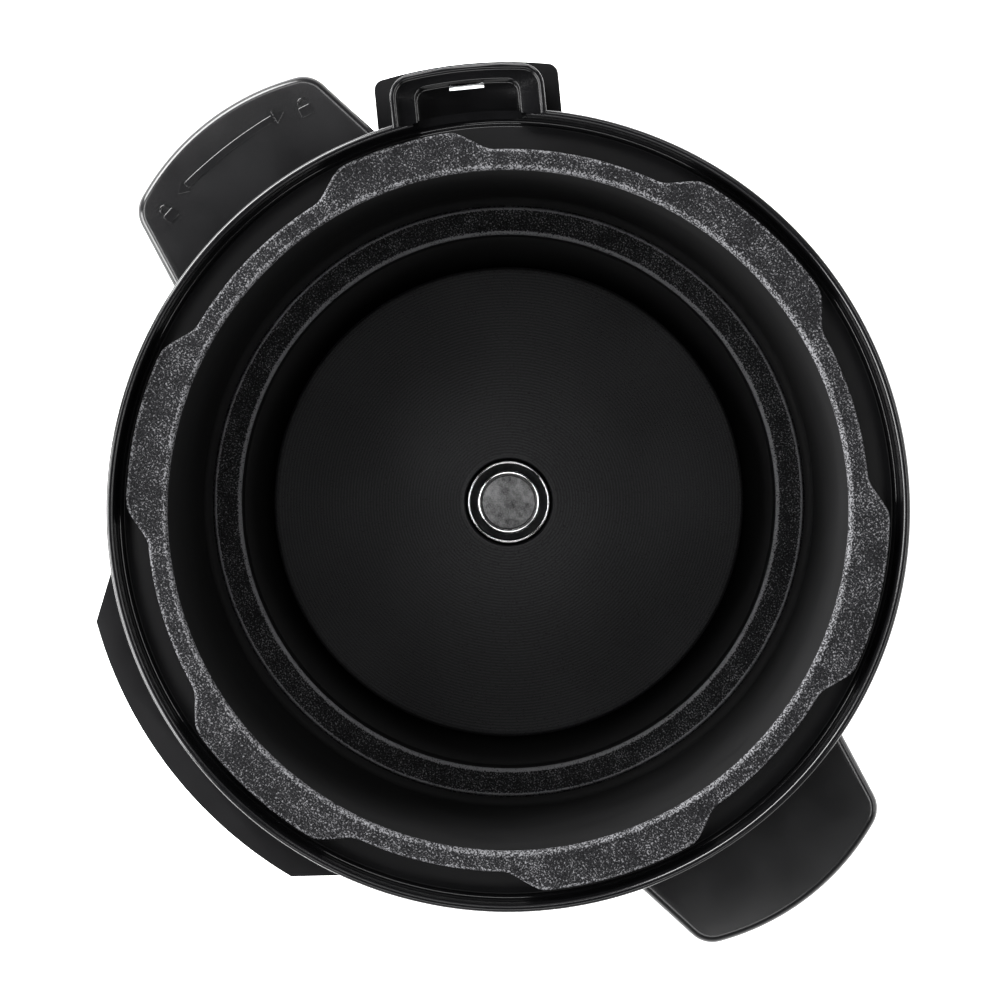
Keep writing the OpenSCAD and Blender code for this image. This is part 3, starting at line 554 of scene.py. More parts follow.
FINISHES: dict[str, Finish] = {
    "black_gloss": Finish(
        (0.0045, 0.0045, 0.005), 0.16, spread=0.25, rough_spread=0.05, grain=0.35, relief=0.0015,
        coat=0.25),
    "handle_gloss": Finish(
        (0.006, 0.006, 0.0065), 0.22, spread=0.25, rough_spread=0.05, grain=0.5, relief=0.004, coat=0.2),
    "shelf_satin": Finish(
        (0.004, 0.004, 0.0045), 0.42, spread=0.25, rough_spread=0.06, grain=0.4, relief=0.006,
        specular=0.12),
    "fascia_gloss": Finish(
        (0.006, 0.006, 0.008), 0.08, spread=0.2, rough_spread=0.03, grain=0.5, relief=0.0006, coat=0.5),
    "black_satin": Finish(
        (0.0045, 0.0045, 0.005), 0.5, spread=0.3, rough_spread=0.08, grain=0.28, relief=0.014,
        specular=0.12),
    "rubber": Finish((0.014, 0.014, 0.014), 0.78, spread=0.35, grain=0.4, relief=0.02, specular=0.25),
    "silicone": Finish((0.05, 0.05, 0.053), 0.62, spread=0.2, grain=0.6, relief=0.008),
    "stainless": Brushed(
        (0.52, 0.53, 0.54), 0.3, metal=1.0, spread=0.12, rough_spread=0.08, grain=0.22, relief=0.003),
    # The pot's paint: grey flecks with painted glints, and painted highlights along its edges.
    "pot_flange": Hammered(
        (0.004, 0.004, 0.0045), 0.5, rough_spread=0.12, grain=0.55, relief=0.1, edge="edge",
        specular=0.12, fleck=(0.010, 0.010, 0.0105)),
    # A shaded copy of the pot's paint, without flecks, for the wall, fillet and well that lie in shade.
    "pot_wall": Finish(
        (0.007, 0.007, 0.0073), 0.75, spread=0.35, rough_spread=0.06, grain=0.7, relief=0.006,
        specular=0.2),
    "reflector": Finish((0.7, 0.71, 0.72), 0.25, metal=1.0, spread=0.08, grain=3.0, relief=0.03),
    "cast_plate": Turned(
        (0.05, 0.05, 0.052), 0.3, metal=0.7, spread=0.3, rough_spread=0.05, grain=0.3, relief=0.004),
    "element_steel": Frosted((0.2, 0.19, 0.18), 0.5, metal=1.0, spread=0.35, grain=0.8, relief=0.01),
    "ceramic": Finish((0.78, 0.76, 0.7), 0.55, spread=0.06, grain=0.5, relief=0.006),
    "polished_steel": Brushed(
        (0.86, 0.86, 0.87), 0.16, metal=1.0, spread=0.08, rough_spread=0.05, grain=0.12, relief=0.002),
    "sensor_steel": Frosted(
        (0.15, 0.15, 0.152), 0.5, metal=0.8, spread=0.85, rough_spread=0.1, grain=0.42, relief=0.02),
    "nylon": Finish((0.72, 0.69, 0.62), 0.5, spread=0.06, grain=0.7, relief=0.004),
    "sensor_bead": Finish((0.1, 0.04, 0.025), 0.4, spread=0.25, grain=0.5, relief=0.01, coat=0.3),
    "switch_case": Finish((0.02, 0.026, 0.04), 0.45, spread=0.2, grain=0.4, relief=0.01),
    "display_glass": Finish(
        (0.006, 0.0065, 0.009), 0.06, spread=0.35, rough_spread=0.02, grain=0.9, relief=0.0, coat=0.6),
    "display_case": Finish((0.08, 0.1, 0.09), 0.5, spread=0.15, grain=0.5, relief=0.008),
    "lamp_red": Finish((0.3, 0.03, 0.02), 0.18, spread=0.3, grain=0.7, relief=0.004, coat=0.4),
    "board_green": Etched(
        (0.01, 0.07, 0.028), 0.35, grain=0.6, relief=0.02, track=(0.02, 0.17, 0.06), normal_axis=1),
    "board_tan": Etched((0.36, 0.26, 0.12), 0.5, grain=0.6, relief=0.02, track=(0.5, 0.4, 0.2)),
    "zinc_steel": Frosted((0.55, 0.56, 0.58), 0.34, metal=1.0, spread=0.2, grain=0.9, relief=0.006),
    "clear_plastic": Finish(
        (0.93, 0.95, 0.96), 0.06, spread=0.03, rough_spread=0.03, grain=2.0, relief=0.0, clear=1.0),
    "brass": Frosted((0.62, 0.42, 0.16), 0.3, metal=1.0, spread=0.15, grain=0.6, relief=0.004),
    "relay_blue": Finish((0.012, 0.05, 0.24), 0.4, spread=0.12, grain=0.5, relief=0.008),
    "winding_tape": Striped(
        (0.6, 0.42, 0.05), 0.35, grain=0.7, relief=0.03, second=(0.75, 0.56, 0.1), pitch=1.5),
    "capacitor_sleeve": Striped(
        (0.02, 0.022, 0.07), 0.28, grain=0.5, relief=0.01, second=(0.03, 0.034, 0.09), pitch=4.0),
    "wire_insulation": Finish((0.17, 0.06, 0.025), 0.42, spread=0.2, grain=0.8, relief=0.01),
    "key_plastic": Finish(
        (0.03, 0.03, 0.033), 0.38, spread=0.2, rough_spread=0.07, grain=0.22, relief=0.008),
    "key_mark": Finish((0.62, 0.62, 0.62), 0.45, spread=0.08, grain=0.5, relief=0.002),
    "segment": Finish((0.06, 0.03, 0.028), 0.35, spread=0.2, grain=0.5, relief=0.0),
}


class Paint:
    """The materials in use, each made once."""

    made: dict[str, bpy.types.Material] = {}

    @classmethod
    def get(cls, name: str) -> bpy.types.Material:
        """The material of a finish, made when it is first asked for.

        Args:
            name: Name of the finish.

        Returns:
            The material.
        """
        if name not in cls.made:
            cls.made[name] = FINISHES[name].build(name)
        return cls.made[name]


# ---- Modelling by hand ----


class Pick(Enum):
    """What a selection is made of."""

    VERTS = "VERT"
    EDGES = "EDGE"
    FACES = "FACE"


class Join(Enum):
    """How one solid is combined with another."""

    CUT = "DIFFERENCE"
    ADD = "UNION"
    KEEP_COMMON = "INTERSECT"


class Workpiece:
    """One mesh in the making, shaped with the edit-mode operators."""

    def __init__(self, name: str, obj: bpy.types.Object | None = None) -> None:
        """Start a piece.

        Args:
            name: Name of the finished piece.
            obj: An object to go on with, or None for the newest primitive.
        """
        self.obj = obj or bpy.context.object
        self.obj.name = self.obj.data.name = name

    @staticmethod
    def clear() -> None:
        """Leave edit mode and deselect everything."""
        if bpy.context.object and bpy.context.object.mode != "OBJECT":
            bpy.ops.object.mode_set(mode="OBJECT")
        bpy.ops.object.select_all(action="DESELECT")

    @classmethod
    def path(cls, name: str, points: Sequence[Point]) -> "Workpiece":
        """A chain of edges drawn by extruding one vertex from point to point.

        Args:
            name: Name of the piece.
            points: The points, in millimetres.

        Returns:
            The piece, in edit mode with its last vertex selected.
        """
        cls.clear()
        bpy.ops.mesh.primitive_plane_add(size=1 * MM)
        piece = cls(name)
        bpy.ops.object.mode_set(mode="EDIT")
        bpy.ops.mesh.select_mode(type="VERT")
        bpy.ops.mesh.merge(type="CENTER")
        spots = [Vector(p) * MM for p in points]
        bpy.ops.transform.translate(value=spots[0])
        for here, there in zip(spots, spots[1:]):
            bpy.ops.mesh.extrude_region_move(TRANSFORM_OT_translate={"value": there - here})
        return piece

    @classmethod
    def turned(cls, name: str, profile: Profile, steps: int = 256, start: float = 0.0) -> "Workpiece":
        """A solid of revolution about the upright axis.

        Args:
            name: Name of the piece.
            profile: Radius and height of each point of its closed section.
            steps: Number of faces around.
            start: Angle of the first section.

        Returns:
            The piece, in edit mode.
        """
        closed = profile if profile[0][0] < 1e-6 and profile[-1][0] < 1e-6 else [*profile, profile[0]]
        piece = cls.path(name, [polar(r, start, z) for r, z in closed])
        bpy.ops.mesh.select_all(action="SELECT")
        bpy.ops.mesh.spin(steps=steps, angle=TURN, center=(0, 0, 0), axis=(0, 0, 1))
        return piece.heal()

    @classmethod
    def prism(cls, name: str, outline: Profile, low: float, high: float) -> "Workpiece":
        """An upright solid on a plan outline.

        Args:
            name: Name of the piece.
            outline: The plan's points, counter-clockwise.
            low: Its lower height.
            high: Its upper height.

        Returns:
            The piece, in edit mode.
        """
        return cls.extruded(name, [(x, y, low) for x, y in outline], (0, 0, high - low))

    @classmethod
    def extruded(cls, name: str, outline: Sequence[Point], push: Point) -> "Workpiece":
        """A solid made by drawing a closed outline and pushing its face along a vector.

        Args:
            name: Name of the piece.
            outline: The outline's points.
            push: The vector, in millimetres.

        Returns:
            The piece, in edit mode.
        """
        piece = cls.path(name, [*outline, outline[0]])
        bpy.ops.mesh.select_all(action="SELECT")
        bpy.ops.mesh.remove_doubles(threshold=0.001 * MM)
        bpy.ops.mesh.edge_face_add()
        bpy.ops.mesh.extrude_region_move(TRANSFORM_OT_translate={"value": Vector(push) * MM})
        return piece.heal()

    @classmethod
    def ring(cls, name: str, radius: float, low: float, high: float, steps: int = 256) -> "Workpiece":
        """A plain upright cylinder, used to cut other pieces.

        Args:
            name: Name of the piece.
            radius: Its radius.
            low: Its lower height.
            high: Its upper height.
            steps: Number of faces around.

        Returns:
            The piece.
        """
        cls.clear()
        middle = (low + high) / 2 * MM
        bpy.ops.mesh.primitive_cylinder_add(
            vertices=steps, radius=radius * MM, depth=(high - low) * MM, location=(0, 0, middle))
        return cls(name)

    @classmethod
    def block(cls, name: str, low: Point, high: Point) -> "Workpiece":
        """A box between two corners, used to cut other pieces.

        Args:
            name: Name of the piece.
            low: Its lowest corner.
            high: Its highest corner.

        Returns:
            The piece.
        """
        cls.clear()
        bpy.ops.mesh.primitive_cube_add(size=1, location=[(a + b) / 2 * MM for a, b in zip(low, high)])
        piece = cls(name)
        piece.obj.scale = [(b - a) * MM for a, b in zip(low, high)]
        return piece.settle()

    @classmethod
    def from_node(cls, name: str, node: str) -> "Workpiece":
        """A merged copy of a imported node's mesh, to be shaped further.

        Args:
            name: Name of the new piece.
            node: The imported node.

        Returns:
            The piece, in edit mode.
        """
        cls.clear()
        source = frame["nodes"][node]
        obj = bpy.data.objects.new(name, source.data.copy())
        bpy.context.collection.objects.link(obj)
        bpy.context.view_layer.objects.active = obj
        obj.select_set(True)
        piece = cls(name, obj)
        bpy.ops.object.mode_set(mode="EDIT")
        bpy.ops.mesh.customdata_custom_splitnormals_clear()
        bpy.ops.mesh.select_all(action="SELECT")
        bpy.ops.mesh.remove_doubles(threshold=0.002 * MM)
        bpy.ops.mesh.dissolve_limited(angle_limit=math.radians(0.4))
        return piece

    def heal(self) -> "Workpiece":
        """Merge doubles and turn every face outwards."""
        self.edit()
        bpy.ops.mesh.select_all(action="SELECT")
        bpy.ops.mesh.remove_doubles(threshold=0.002 * MM)
        bpy.ops.mesh.normals_make_consistent(inside=False)
        return self

    def edit(self) -> "Workpiece":
        """Go into edit mode on this piece alone."""
        if bpy.context.object is not self.obj or self.obj.mode != "EDIT":
            self.clear()
            bpy.context.view_layer.objects.active = self.obj
            self.obj.select_set(True)
            bpy.ops.object.mode_set(mode="EDIT")
        return self

    def settle(self) -> "Workpiece":
        """Leave edit mode and put the piece's place into its mesh."""
        self.clear()
        bpy.context.view_layer.objects.active = self.obj
        self.obj.select_set(True)
        bpy.ops.object.transform_apply(location=True, rotation=True, scale=True)
        return self

    def pick(self, kind: Pick, test: Callable[..., bool]) -> int:
        """Select what passes a test.

        Args:
            kind: What to select.
            test: Takes a bmesh vertex, edge or face.

        Returns:
            How many were selected.
        """
        self.edit()
        bpy.ops.mesh.select_all(action="DESELECT")
        bpy.ops.mesh.select_mode(type=kind.value)
        cage = bmesh.from_edit_mesh(self.obj.data)
        items = {Pick.VERTS: cage.verts, Pick.EDGES: cage.edges, Pick.FACES: cage.faces}[kind]
        chosen = [item for item in items if test(item)]
        for item in chosen:
            item.select_set(True)
        cage.select_flush_mode()
        bmesh.update_edit_mesh(self.obj.data, loop_triangles=False, destructive=False)
        return len(chosen)

    def scale_plan(self, factor: float) -> None:
        """Scale the selection away from the upright axis."""
        bpy.ops.transform.resize(value=(factor, factor, 1), center_override=(0, 0, 0))

    def bevel(self, width: float, segments: int = 3, clamp: bool = True) -> "Workpiece":
        """Round the selected edges, kept clear of their neighbours if clamp is set."""
        bpy.ops.mesh.bevel(offset=width * MM, segments=segments, profile=0.5, affect="EDGES", clamp_overlap=clamp)
        return self

    def soften(self, width: float, angle: float = 32, segments: int = 2) -> "Workpiece":
        """Round every edge sharper than an angle with an applied Bevel modifier.

        Args:
            width: Width of the rounding, in millimetres.
            angle: Smallest angle between faces that counts as an edge.
            segments: Faces across the rounding.

        Returns:
            The piece.
        """
        self.settle()
        bevel = self.obj.modifiers.new("round", "BEVEL")
        bevel.width = width * MM
        bevel.segments = segments
        bevel.limit_method = "ANGLE"
        bevel.angle_limit = math.radians(angle)
        bevel.miter_outer = "MITER_ARC"
        bevel.use_clamp_overlap = True
        bpy.ops.object.modifier_apply(modifier=bevel.name)
        return self

    def combine(self, other: "Workpiece", how: Join) -> "Workpiece":
        """Cut, add or intersect another solid with this one, and use that one up.

        Args:
            other: The other solid.
            how: What to do with it.

        Returns:
            This piece.
        """
        other.settle()
        self.settle()
        tool = self.obj.modifiers.new("combine", "BOOLEAN")
        tool.operation = how.value
        tool.solver = "EXACT"
        tool.object = other.obj
        bpy.ops.object.modifier_apply(modifier=tool.name)
        bpy.data.objects.remove(other.obj)
        return self

    def merge(self, others: Sequence["Workpiece"]) -> "Workpiece":
        """Join other pieces into this one.

        Args:
            others: The pieces, which are used up.

        Returns:
            This piece.
        """
        for other in others:
            other.settle()
        self.settle()
        for other in others:
            other.obj.select_set(True)
        bpy.ops.object.join()
        return self

    def mark(self, name: str, weight: Callable[[Vector], float]) -> "Workpiece":
        """Write an attribute whose value follows from each vertex's place in millimetres.

        Args:
            name: Name of the attribute.
            weight: Takes a vertex's place and gives its value.

        Returns:
            This piece.
        """
        self.settle()
        values = [weight(v.co / MM) for v in self.obj.data.vertices]
        self.obj.data.attributes.new(name, "FLOAT", "POINT").data.foreach_set("value", values)
        return self

    def finish(
        self, body: str, slot: str, paint: str = "", replaced: Sequence[str] = (), angle: float = 35
    ) -> "Workpiece":
        """Shade, paint and mount the piece on its body.

        Args:
            body: The body that it rides on.
            slot: The record's slot that it takes its finish from.
            paint: Its finish, where that isn't the slot's own.
            replaced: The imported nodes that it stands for.
            angle: Edges sharper than this stay sharp.

        Returns:
            The piece.
        """
        self.settle()
        bpy.ops.object.shade_smooth_by_angle(angle=math.radians(angle))
        self.obj.data.materials.clear()
        self.obj.data.materials.append(Paint.get(paint or slot))
        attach(self.obj, body)
        if replaced:
            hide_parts(*replaced)
        LOG.info("%s: %d faces on %s", self.obj.name, len(self.obj.data.polygons), body)
        return self

    def repaint(self, paint: str, test: Callable[..., bool]) -> "Workpiece":
        """Give the faces that pass a test another finish.

        Args:
            paint: The finish.
            test: Takes a bmesh face.

        Returns:
            The piece.
        """
        self.obj.data.materials.append(Paint.get(paint))
        self.pick(Pick.FACES, test)
        self.obj.active_material_index = len(self.obj.data.materials) - 1
        bpy.ops.object.material_slot_assign()
        self.settle()
        return self


# ---- The pot ----


@dataclass
class LockingPot:
    """The outer pot: a drawn wall and stepped floor under a flange with six locking lugs. Millimetres."""

    wall_r: float = 114.0
    sheet: float = 1.5
    flange_top: float = 221.0
    flange_low: float = 218.8
    flange_r: float = 121.0
    lug_r: float = 127.9
    lug_first: float = 40.0
    lug_step: float = 60.0
    lug_half: float = 12.3
    narrow_lug: int = 2
    narrow_half: float = 9.1
    lug_slope: float = 5.0
    ledge_in: float = 99.6
    ledge_out: float = 110.2
    ledge_z: float = 66.0
    well_z: float = 52.0
    centre_hole_r: float = 20.0
    leg_hole: tuple[float, float] = (76.5, 3.6)
    terminal_hole: tuple[float, float] = (61.0, 6.5)
    small_hole: tuple[float, float] = (40.0, 3.4)
    # Strength of the painted highlight along the flange's rounded edges and along the ledge's edges.
    rim_highlight: float = 1.0
    ledge_highlight: float = 2.2
    steps: int = 480

    def section(self) -> Profile:
        """The pot's section, from the flange's inner edge outwards and round the sheet."""
        outer = self.wall_r + self.sheet
        top, low, ledge, well = self.flange_top, self.flange_low, self.ledge_z, self.well_z
        return [
            *arc((self.wall_r + 1.5, top - 1.5), 1.5, 180, 90, 5),
            (116.1, top), (118.6, top), (self.flange_r - 1.2, top),
            *arc((self.flange_r - 0.55, top - 0.55), 0.55, 90, 0, 3),
            *arc((self.flange_r - 0.4, low + 0.4), 0.4, 0, -90, 2),
            (118.6, low), (outer + 0.6, low), (outer, low - 0.6),
            (outer, ledge + 0.4), (outer - 2.6, ledge - 3.1), (109.6, ledge - 3.1), (108.8, ledge - 1.5),
            (101.1, ledge - 1.5), (101.1, well - 1.5), (self.centre_hole_r, well - 1.5), (self.centre_hole_r, well),
            (self.ledge_in - 1.2, well), (self.ledge_in - 0.3, well + 0.3), (self.ledge_in, well + 1.2),
            *arc((self.ledge_in + 1.1, ledge - 1.1), 1.1, 180, 90, 4),
            (self.ledge_in + 1.7, ledge), (self.ledge_out - 1.6, ledge),
            *arc((self.ledge_out - 1.1, ledge - 0.7), 0.7, 90, 25, 3),
            (self.ledge_out + 0.2, ledge - 1.6),
            *arc((111.4, ledge + 1), 2.6, -90, 0, 4),
        ]

    def lug_reach(self, angle: float) -> float:
        """Radius of the flange's edge at an angle, with softly rounded corners."""
        spread = (-0.9, -0.45, 0.0, 0.45, 0.9)
        return sum(self._sharp_reach(angle + d) for d in spread) / len(spread)

    def _sharp_reach(self, angle: float) -> float:
        """Radius of the flange's edge at an angle, before its corners are rounded.

        Args:
            angle: The angle about the axis.

        Returns:
            The radius.
        """
        index = round((angle - self.lug_first) / self.lug_step) % 6
        off = abs((angle - self.lug_first + self.lug_step / 2) % self.lug_step - self.lug_step / 2)
        half = self.narrow_half if index == self.narrow_lug else self.lug_half
        share = min(1.0, max(0.0, (off - half) / self.lug_slope))
        return self.lug_r + (self.flange_r - self.lug_r) * share

    def raise_lugs(self, pot: Workpiece) -> None:
        """Pull the flange's edge outwards, column by column, to make the lugs.

        Args:
            pot: The turned pot.
        """
        pot.edit()
        columns: dict[float, set[int]] = {}
        for i in range(self.steps):
            angle = self.lug_first + 360 / self.steps * i
            factor = round(self.lug_reach(angle) / self.flange_r, 5)
            if factor > 1.00001:
                columns.setdefault(factor, set()).add(i)
        edge = 119.2 * MM

        def column_of(vertex: bmesh.types.BMVert) -> int:
            """Index of the section that a vertex of the flange's edge lies on, or -1."""
            if math.hypot(vertex.co.x, vertex.co.y) < edge:
                return -1
            angle = math.degrees(math.atan2(vertex.co.y, vertex.co.x)) - self.lug_first
            return round(angle * self.steps / 360) % self.steps

        cage = bmesh.from_edit_mesh(pot.obj.data)
        own = {v.index: column_of(v) for v in cage.verts}
        for factor, members in columns.items():
            pot.pick(Pick.VERTS, lambda v, m=members: own[v.index] in m)
            pot.scale_plan(factor)

    def build(self) -> None:
        """Turn the pot, raise its lugs, drill its floor and dress it."""
        pot = Workpiece.turned("outer_pot_painted", self.section(), self.steps, self.lug_first)
        self.raise_lugs(pot)
        drills = []
        holes = [(self.leg_hole, a) for a in (30, 150, 270)] + [(self.terminal_hole, a) for a in (78, 102)]
        for (reach, radius), angle in [*holes, (self.small_hole, 210)]:
            drill = Workpiece.ring("drill", radius, self.well_z - 6, self.well_z + 4, 40)
            drill.obj.location.x, drill.obj.location.y = (c * MM for c in polar(reach, angle)[:2])
            drills.append(drill.settle())
        pot.combine(drills[0].merge(drills[1:]), Join.CUT)

        def highlight_weight(place: Vector) -> float:
            """How strongly a point lies on one of the rounded edges that carry a painted highlight."""
            radius = math.hypot(place.x, place.y)
            reach = self.lug_reach(math.degrees(math.atan2(place.y, place.x)))
            rim = place.z > self.flange_top - 1.6 and (radius < 115.6 or radius > reach - 0.7)
            at_ledge = self.ledge_z - 1.3 < place.z < self.ledge_z + 0.01
            ledge = at_ledge and (radius < 100.9 or 109.0 < radius < 110.3)
            return self.rim_highlight if rim else self.ledge_highlight if ledge else 0.0

        # Painted highlight: the rounded edges of the flange and the ledge get brighter flecks.
        pot.mark("edge", highlight_weight)
        pot.finish("base_unit", "hammertone", "pot_flange", ("outer_pot", "pot_floor", "pot_flange"))

        def in_painted_shade(face: bmesh.types.BMFace) -> bool:
            """Whether a face belongs to the wall, the fillet under it or the well, which take painted shade."""
            middle = face.calc_center_median() / MM
            fillet = math.hypot(*middle.xy) > self.ledge_out + 0.15 and middle.z < self.flange_top - 2
            return fillet or middle.z < self.ledge_z - 2

        # Painted shade: the wall, the fillet and the well take a fleckless, duller copy of the pot's paint.
        pot.repaint("pot_wall", in_painted_shade)


# ---- The heating plate and its sensor ----


@dataclass
class HeatingPlate:
    """The sprung plate, turned with fine concentric grooves. Millimetres."""

    top: float = 69.0
    low: float = 60.0
    rib_low: float = 54.4
    hole_r: float = 16.2
    radius: float = 87.3
    groove_pitch: float = 1.1
    groove_depth: float = 0.16
    rib_in: float = 52.0
    rib_out: float = 70.0

    def section(self) -> Profile:
        """The plate's section, with its grooved face."""
        profile = [(self.hole_r, self.top - 0.5), (self.hole_r + 0.4, self.top)]
        groove = self.hole_r + 1.2
        while groove < self.radius - 1.6:
            profile += [(groove, self.top), (groove + self.groove_pitch / 2, self.top - self.groove_depth)]
            groove += self.groove_pitch
        profile += arc((self.radius - 1, self.top - 1), 1, 90, 0, 3)
        profile += [(self.radius, self.low + 3), (self.radius - 1.5, self.low), (self.rib_out, self.low)]
        profile += [(self.rib_out - 2, self.rib_low), (self.rib_in + 2, self.rib_low), (self.rib_in, self.low)]
        return [*profile, (self.hole_r, self.low)]

    def build(self) -> None:
        """Turn and dress the plate."""
        plate = Workpiece.turned("heating_plate_grooved", self.section(), 240)
        plate.finish("plate", "cast_plate", replaced=["heating_plate"])


@dataclass
class PressureSensor:
    """The sprung sensor cap inside its polished ring. Millimetres."""

    cap_r: float = 11.7
    cap_top: float = 72.2
    cap_low: float = 59.4
    face_r: float = 9.5
    ring_in: float = 14.2
    ring_out: float = 15.3
    ring_top: float = 69.3
    ring_low: float = 59.0
    brim_r: float = 19.0

    def build_cap(self) -> None:
        """Turn the cap: a frosted face, a shallow bevel, a bright rolled edge and a lower wall painted black as
        shade in the gap inside the ring.
        """
        wall = 0.6
        section = [
            (0, self.cap_top), (self.face_r, self.cap_top), (self.face_r + 0.25, self.cap_top - 0.1),
            (self.face_r + 0.5, self.cap_top - 0.42), (self.cap_r - 0.95, self.cap_top - 0.5),
            *arc((self.cap_r - 0.8, self.cap_top - 1.35), 0.8, 80, 0, 5),
            (self.cap_r, self.cap_low), (self.cap_r - wall, self.cap_low),
            (self.cap_r - wall, self.cap_top - 1.6), (self.cap_r - 1.4, self.cap_top - 1.1), (0, self.cap_top - 1.1),
        ]
        cap = Workpiece.turned("sensor_cap_frosted", section, 160)
        cap.finish("sensor", "sensor_steel", replaced=["sensor_cap"])
        limit = (self.face_r + 0.3) * MM
        painted_shade_top = (self.cap_top - 2) * MM
        cap.repaint("polished_steel", lambda f: math.hypot(*f.calc_center_median().xy) > limit)
        # Painted shade: the cap's steel wall, down in the gap inside the ring, is painted black.
        cap.repaint("black_satin", lambda f: f.calc_center_median().z < painted_shade_top)

    def build_ring(self) -> None:
        """Turn the shield ring with its rolled lip and the brim that holds it under the plate; below the lip it is
        painted black as shade in the gap around the cap.
        """
        middle = (self.ring_in + self.ring_out) / 2
        half = (self.ring_out - self.ring_in) / 2
        section = [
            (self.ring_in, self.ring_low), *arc((middle, self.ring_top - half), half, 180, 0, 8),
            (self.ring_out, self.ring_low + 1.3), (self.ring_out + 0.3, self.ring_low + 1),
            (self.brim_r, self.ring_low + 1), (self.brim_r, self.ring_low),
        ]
        ring = Workpiece.turned("sensor_shield_ring_rolled", section, 160)
        ring.finish("plate", "polished_steel", replaced=["sensor_shield_ring"])
        lip = (self.ring_top - 1) * MM
        # Painted shade: the ring's steel walls below its lip are painted black, for the dark gap around the cap.
        ring.repaint("black_satin", lambda f: f.calc_center_median().z < lip)

    def build(self) -> None:
        """Build both pieces."""
        self.build_cap()
        self.build_ring()


# ---- The collar ----


@dataclass
class Collar:
    """The moulded top ring: rounded lip, gutter, seat for the pot and the drain spout. Millimetres."""

    outer_r: float = 134.3
    lip_r: float = 131.8
    skirt_r: float = 131.7
    low: float = 185.4
    top: float = 225.0
    shelf_z: float = 213.6
    seat_z: float = 217.4
    seat_r: float = 119.4
    bore_r: float = 116.4
    spout_reach: float = 149.2
    spout_half: float = 25.8
    spout_low: float = 199.5
    band_z: float = 221.0
    basin_z: float = 208.0
    basin_half: float = 17.4
    basin_reach: float = 144.4
    rim_width: float = 1.5
    slot_in: float = 142.6
    slot_out: float = 144.3
    slot_half: float = 5.85

    def section(self) -> Profile:
        """The ring's section, with its gutter and seat."""
        shelf = self.shelf_z
        return [
            (self.skirt_r, self.low), (self.outer_r - 0.6, self.low), (self.outer_r - 0.15, self.low + 0.3),
            (self.outer_r, self.low + 0.9), (self.outer_r, self.top - 3.2), (self.outer_r - 0.04, self.top - 2.0),
            *arc((self.outer_r - 1.2, self.top - 1.2), 1.16, 0, 90, 8),
            *arc((self.lip_r + 0.9, self.top - 0.84), 0.8, 90, 180, 5),
            (self.lip_r + 0.08, self.top - 2.4), (self.lip_r - 0.1, shelf + 1.2), (self.lip_r - 0.3, shelf),
            *arc((self.lip_r - 1.5, shelf - 0.1), 1.0, -20, -160, 6),
            (129.2, shelf - 0.12), (128.9, shelf), (self.seat_r + 0.8, shelf), (self.seat_r + 0.2, shelf + 0.2),
            (self.seat_r, shelf + 0.8), (self.seat_r, self.seat_z - 0.3), (self.seat_r - 0.3, self.seat_z),
            (self.bore_r + 0.3, self.seat_z), (self.bore_r, self.seat_z - 0.3), (self.bore_r, 205.4),
            (self.bore_r + 2, 205.4), (self.bore_r + 2, 209.6), (self.bore_r + 2.4, 210), (self.skirt_r, 210),
        ]

    def tongue(
        self, name: str, half: float, reach: float, corner: float, low: float, high: float, start: float = 120
    ) -> Workpiece:
        """An upright solid on the plan of the spout, pointing the spout's way.

        Args:
            name: Name of the piece.
            half: Half its width.
            reach: How far it goes from the axis.
            corner: Radius of its outer corners.
            low: Its lower height.
            high: Its upper height.
            start: Radius at which it starts.

        Returns:
            The piece.
        """
        y = half - corner
        centre = (math.sqrt((reach - corner) ** 2 - y * y), y)
        lean = math.degrees(math.atan2(y, centre[0]))
        upper = [(start, half), *arc(centre, corner, 90, lean, 10), *arc((0, 0), reach, lean, 0, 16)[1:]]
        plan = [*[(x, -y) for x, y in upper[:-1]], *reversed(upper)]
        return Workpiece.prism(name, turned_plan(plan, SPOUT_ANGLE), low, high)

    def block(self, low: Point, high: Point) -> Workpiece:
        """A box between two corners, turned to the spout's direction.

        Args:
            low: Its lowest corner, before the turn.
            high: Its highest corner, before the turn.

        Returns:
            The piece.
        """
        box = Workpiece.block("cutter", low, high)
        box.obj.rotation_euler.z = math.radians(SPOUT_ANGLE)
        return box.settle()

    def spout(self) -> Workpiece:
        """The spout: a rounded rim around a band, a basin and the drain slot."""
        body = self.tongue("spout", self.spout_half, self.spout_reach, 7.5, self.spout_low, self.top)
        band_cut = (self.spout_half - self.rim_width, self.spout_reach - self.rim_width, 6, self.band_z)
        basin_cut = (self.basin_half, self.basin_reach, 4, self.basin_z)
        for half, reach, corner, floor in (band_cut, basin_cut):
            body.combine(self.tongue("cutter", half, reach, corner, floor, self.top + 5, 110), Join.CUT)
        body.soften(0.35, 50, 2)
        body.combine(Workpiece.ring("cutter", 133.2, self.spout_low - 5, self.top + 5, 240), Join.CUT)
        low, high = (self.slot_in, -self.slot_half, self.spout_low - 5), (self.slot_out, self.slot_half, self.top)
        return body.combine(self.block(low, high), Join.CUT)

    def build(self) -> None:
        """Turn the ring, open its lip, join the spout and dress the whole."""
        collar = Workpiece.turned("collar_moulding", self.section(), 360)
        spout = self.spout()
        gap = self.spout_half - 1.4
        collar.combine(self.block((130.9, -gap, self.band_z), (137, gap, self.top + 5)), Join.CUT)
        collar.combine(self.block((130.6, -19, self.shelf_z), (137, 19, self.top + 5)), Join.CUT)
        collar.combine(spout, Join.ADD)
        collar.finish("base_unit", "black_gloss", replaced=("collar", "seat_ring", "drain_spout"), angle=28)
        inner, floor = 129 * MM, (self.shelf_z + 0.3) * MM

        def on_shelf(face: bmesh.types.BMFace) -> bool:
            """Whether a face belongs to the satin shelf beside the pot."""
            middle = face.calc_center_median()
            return math.hypot(*middle.xy) < inner and middle.z < floor and face.normal.z > 0.5

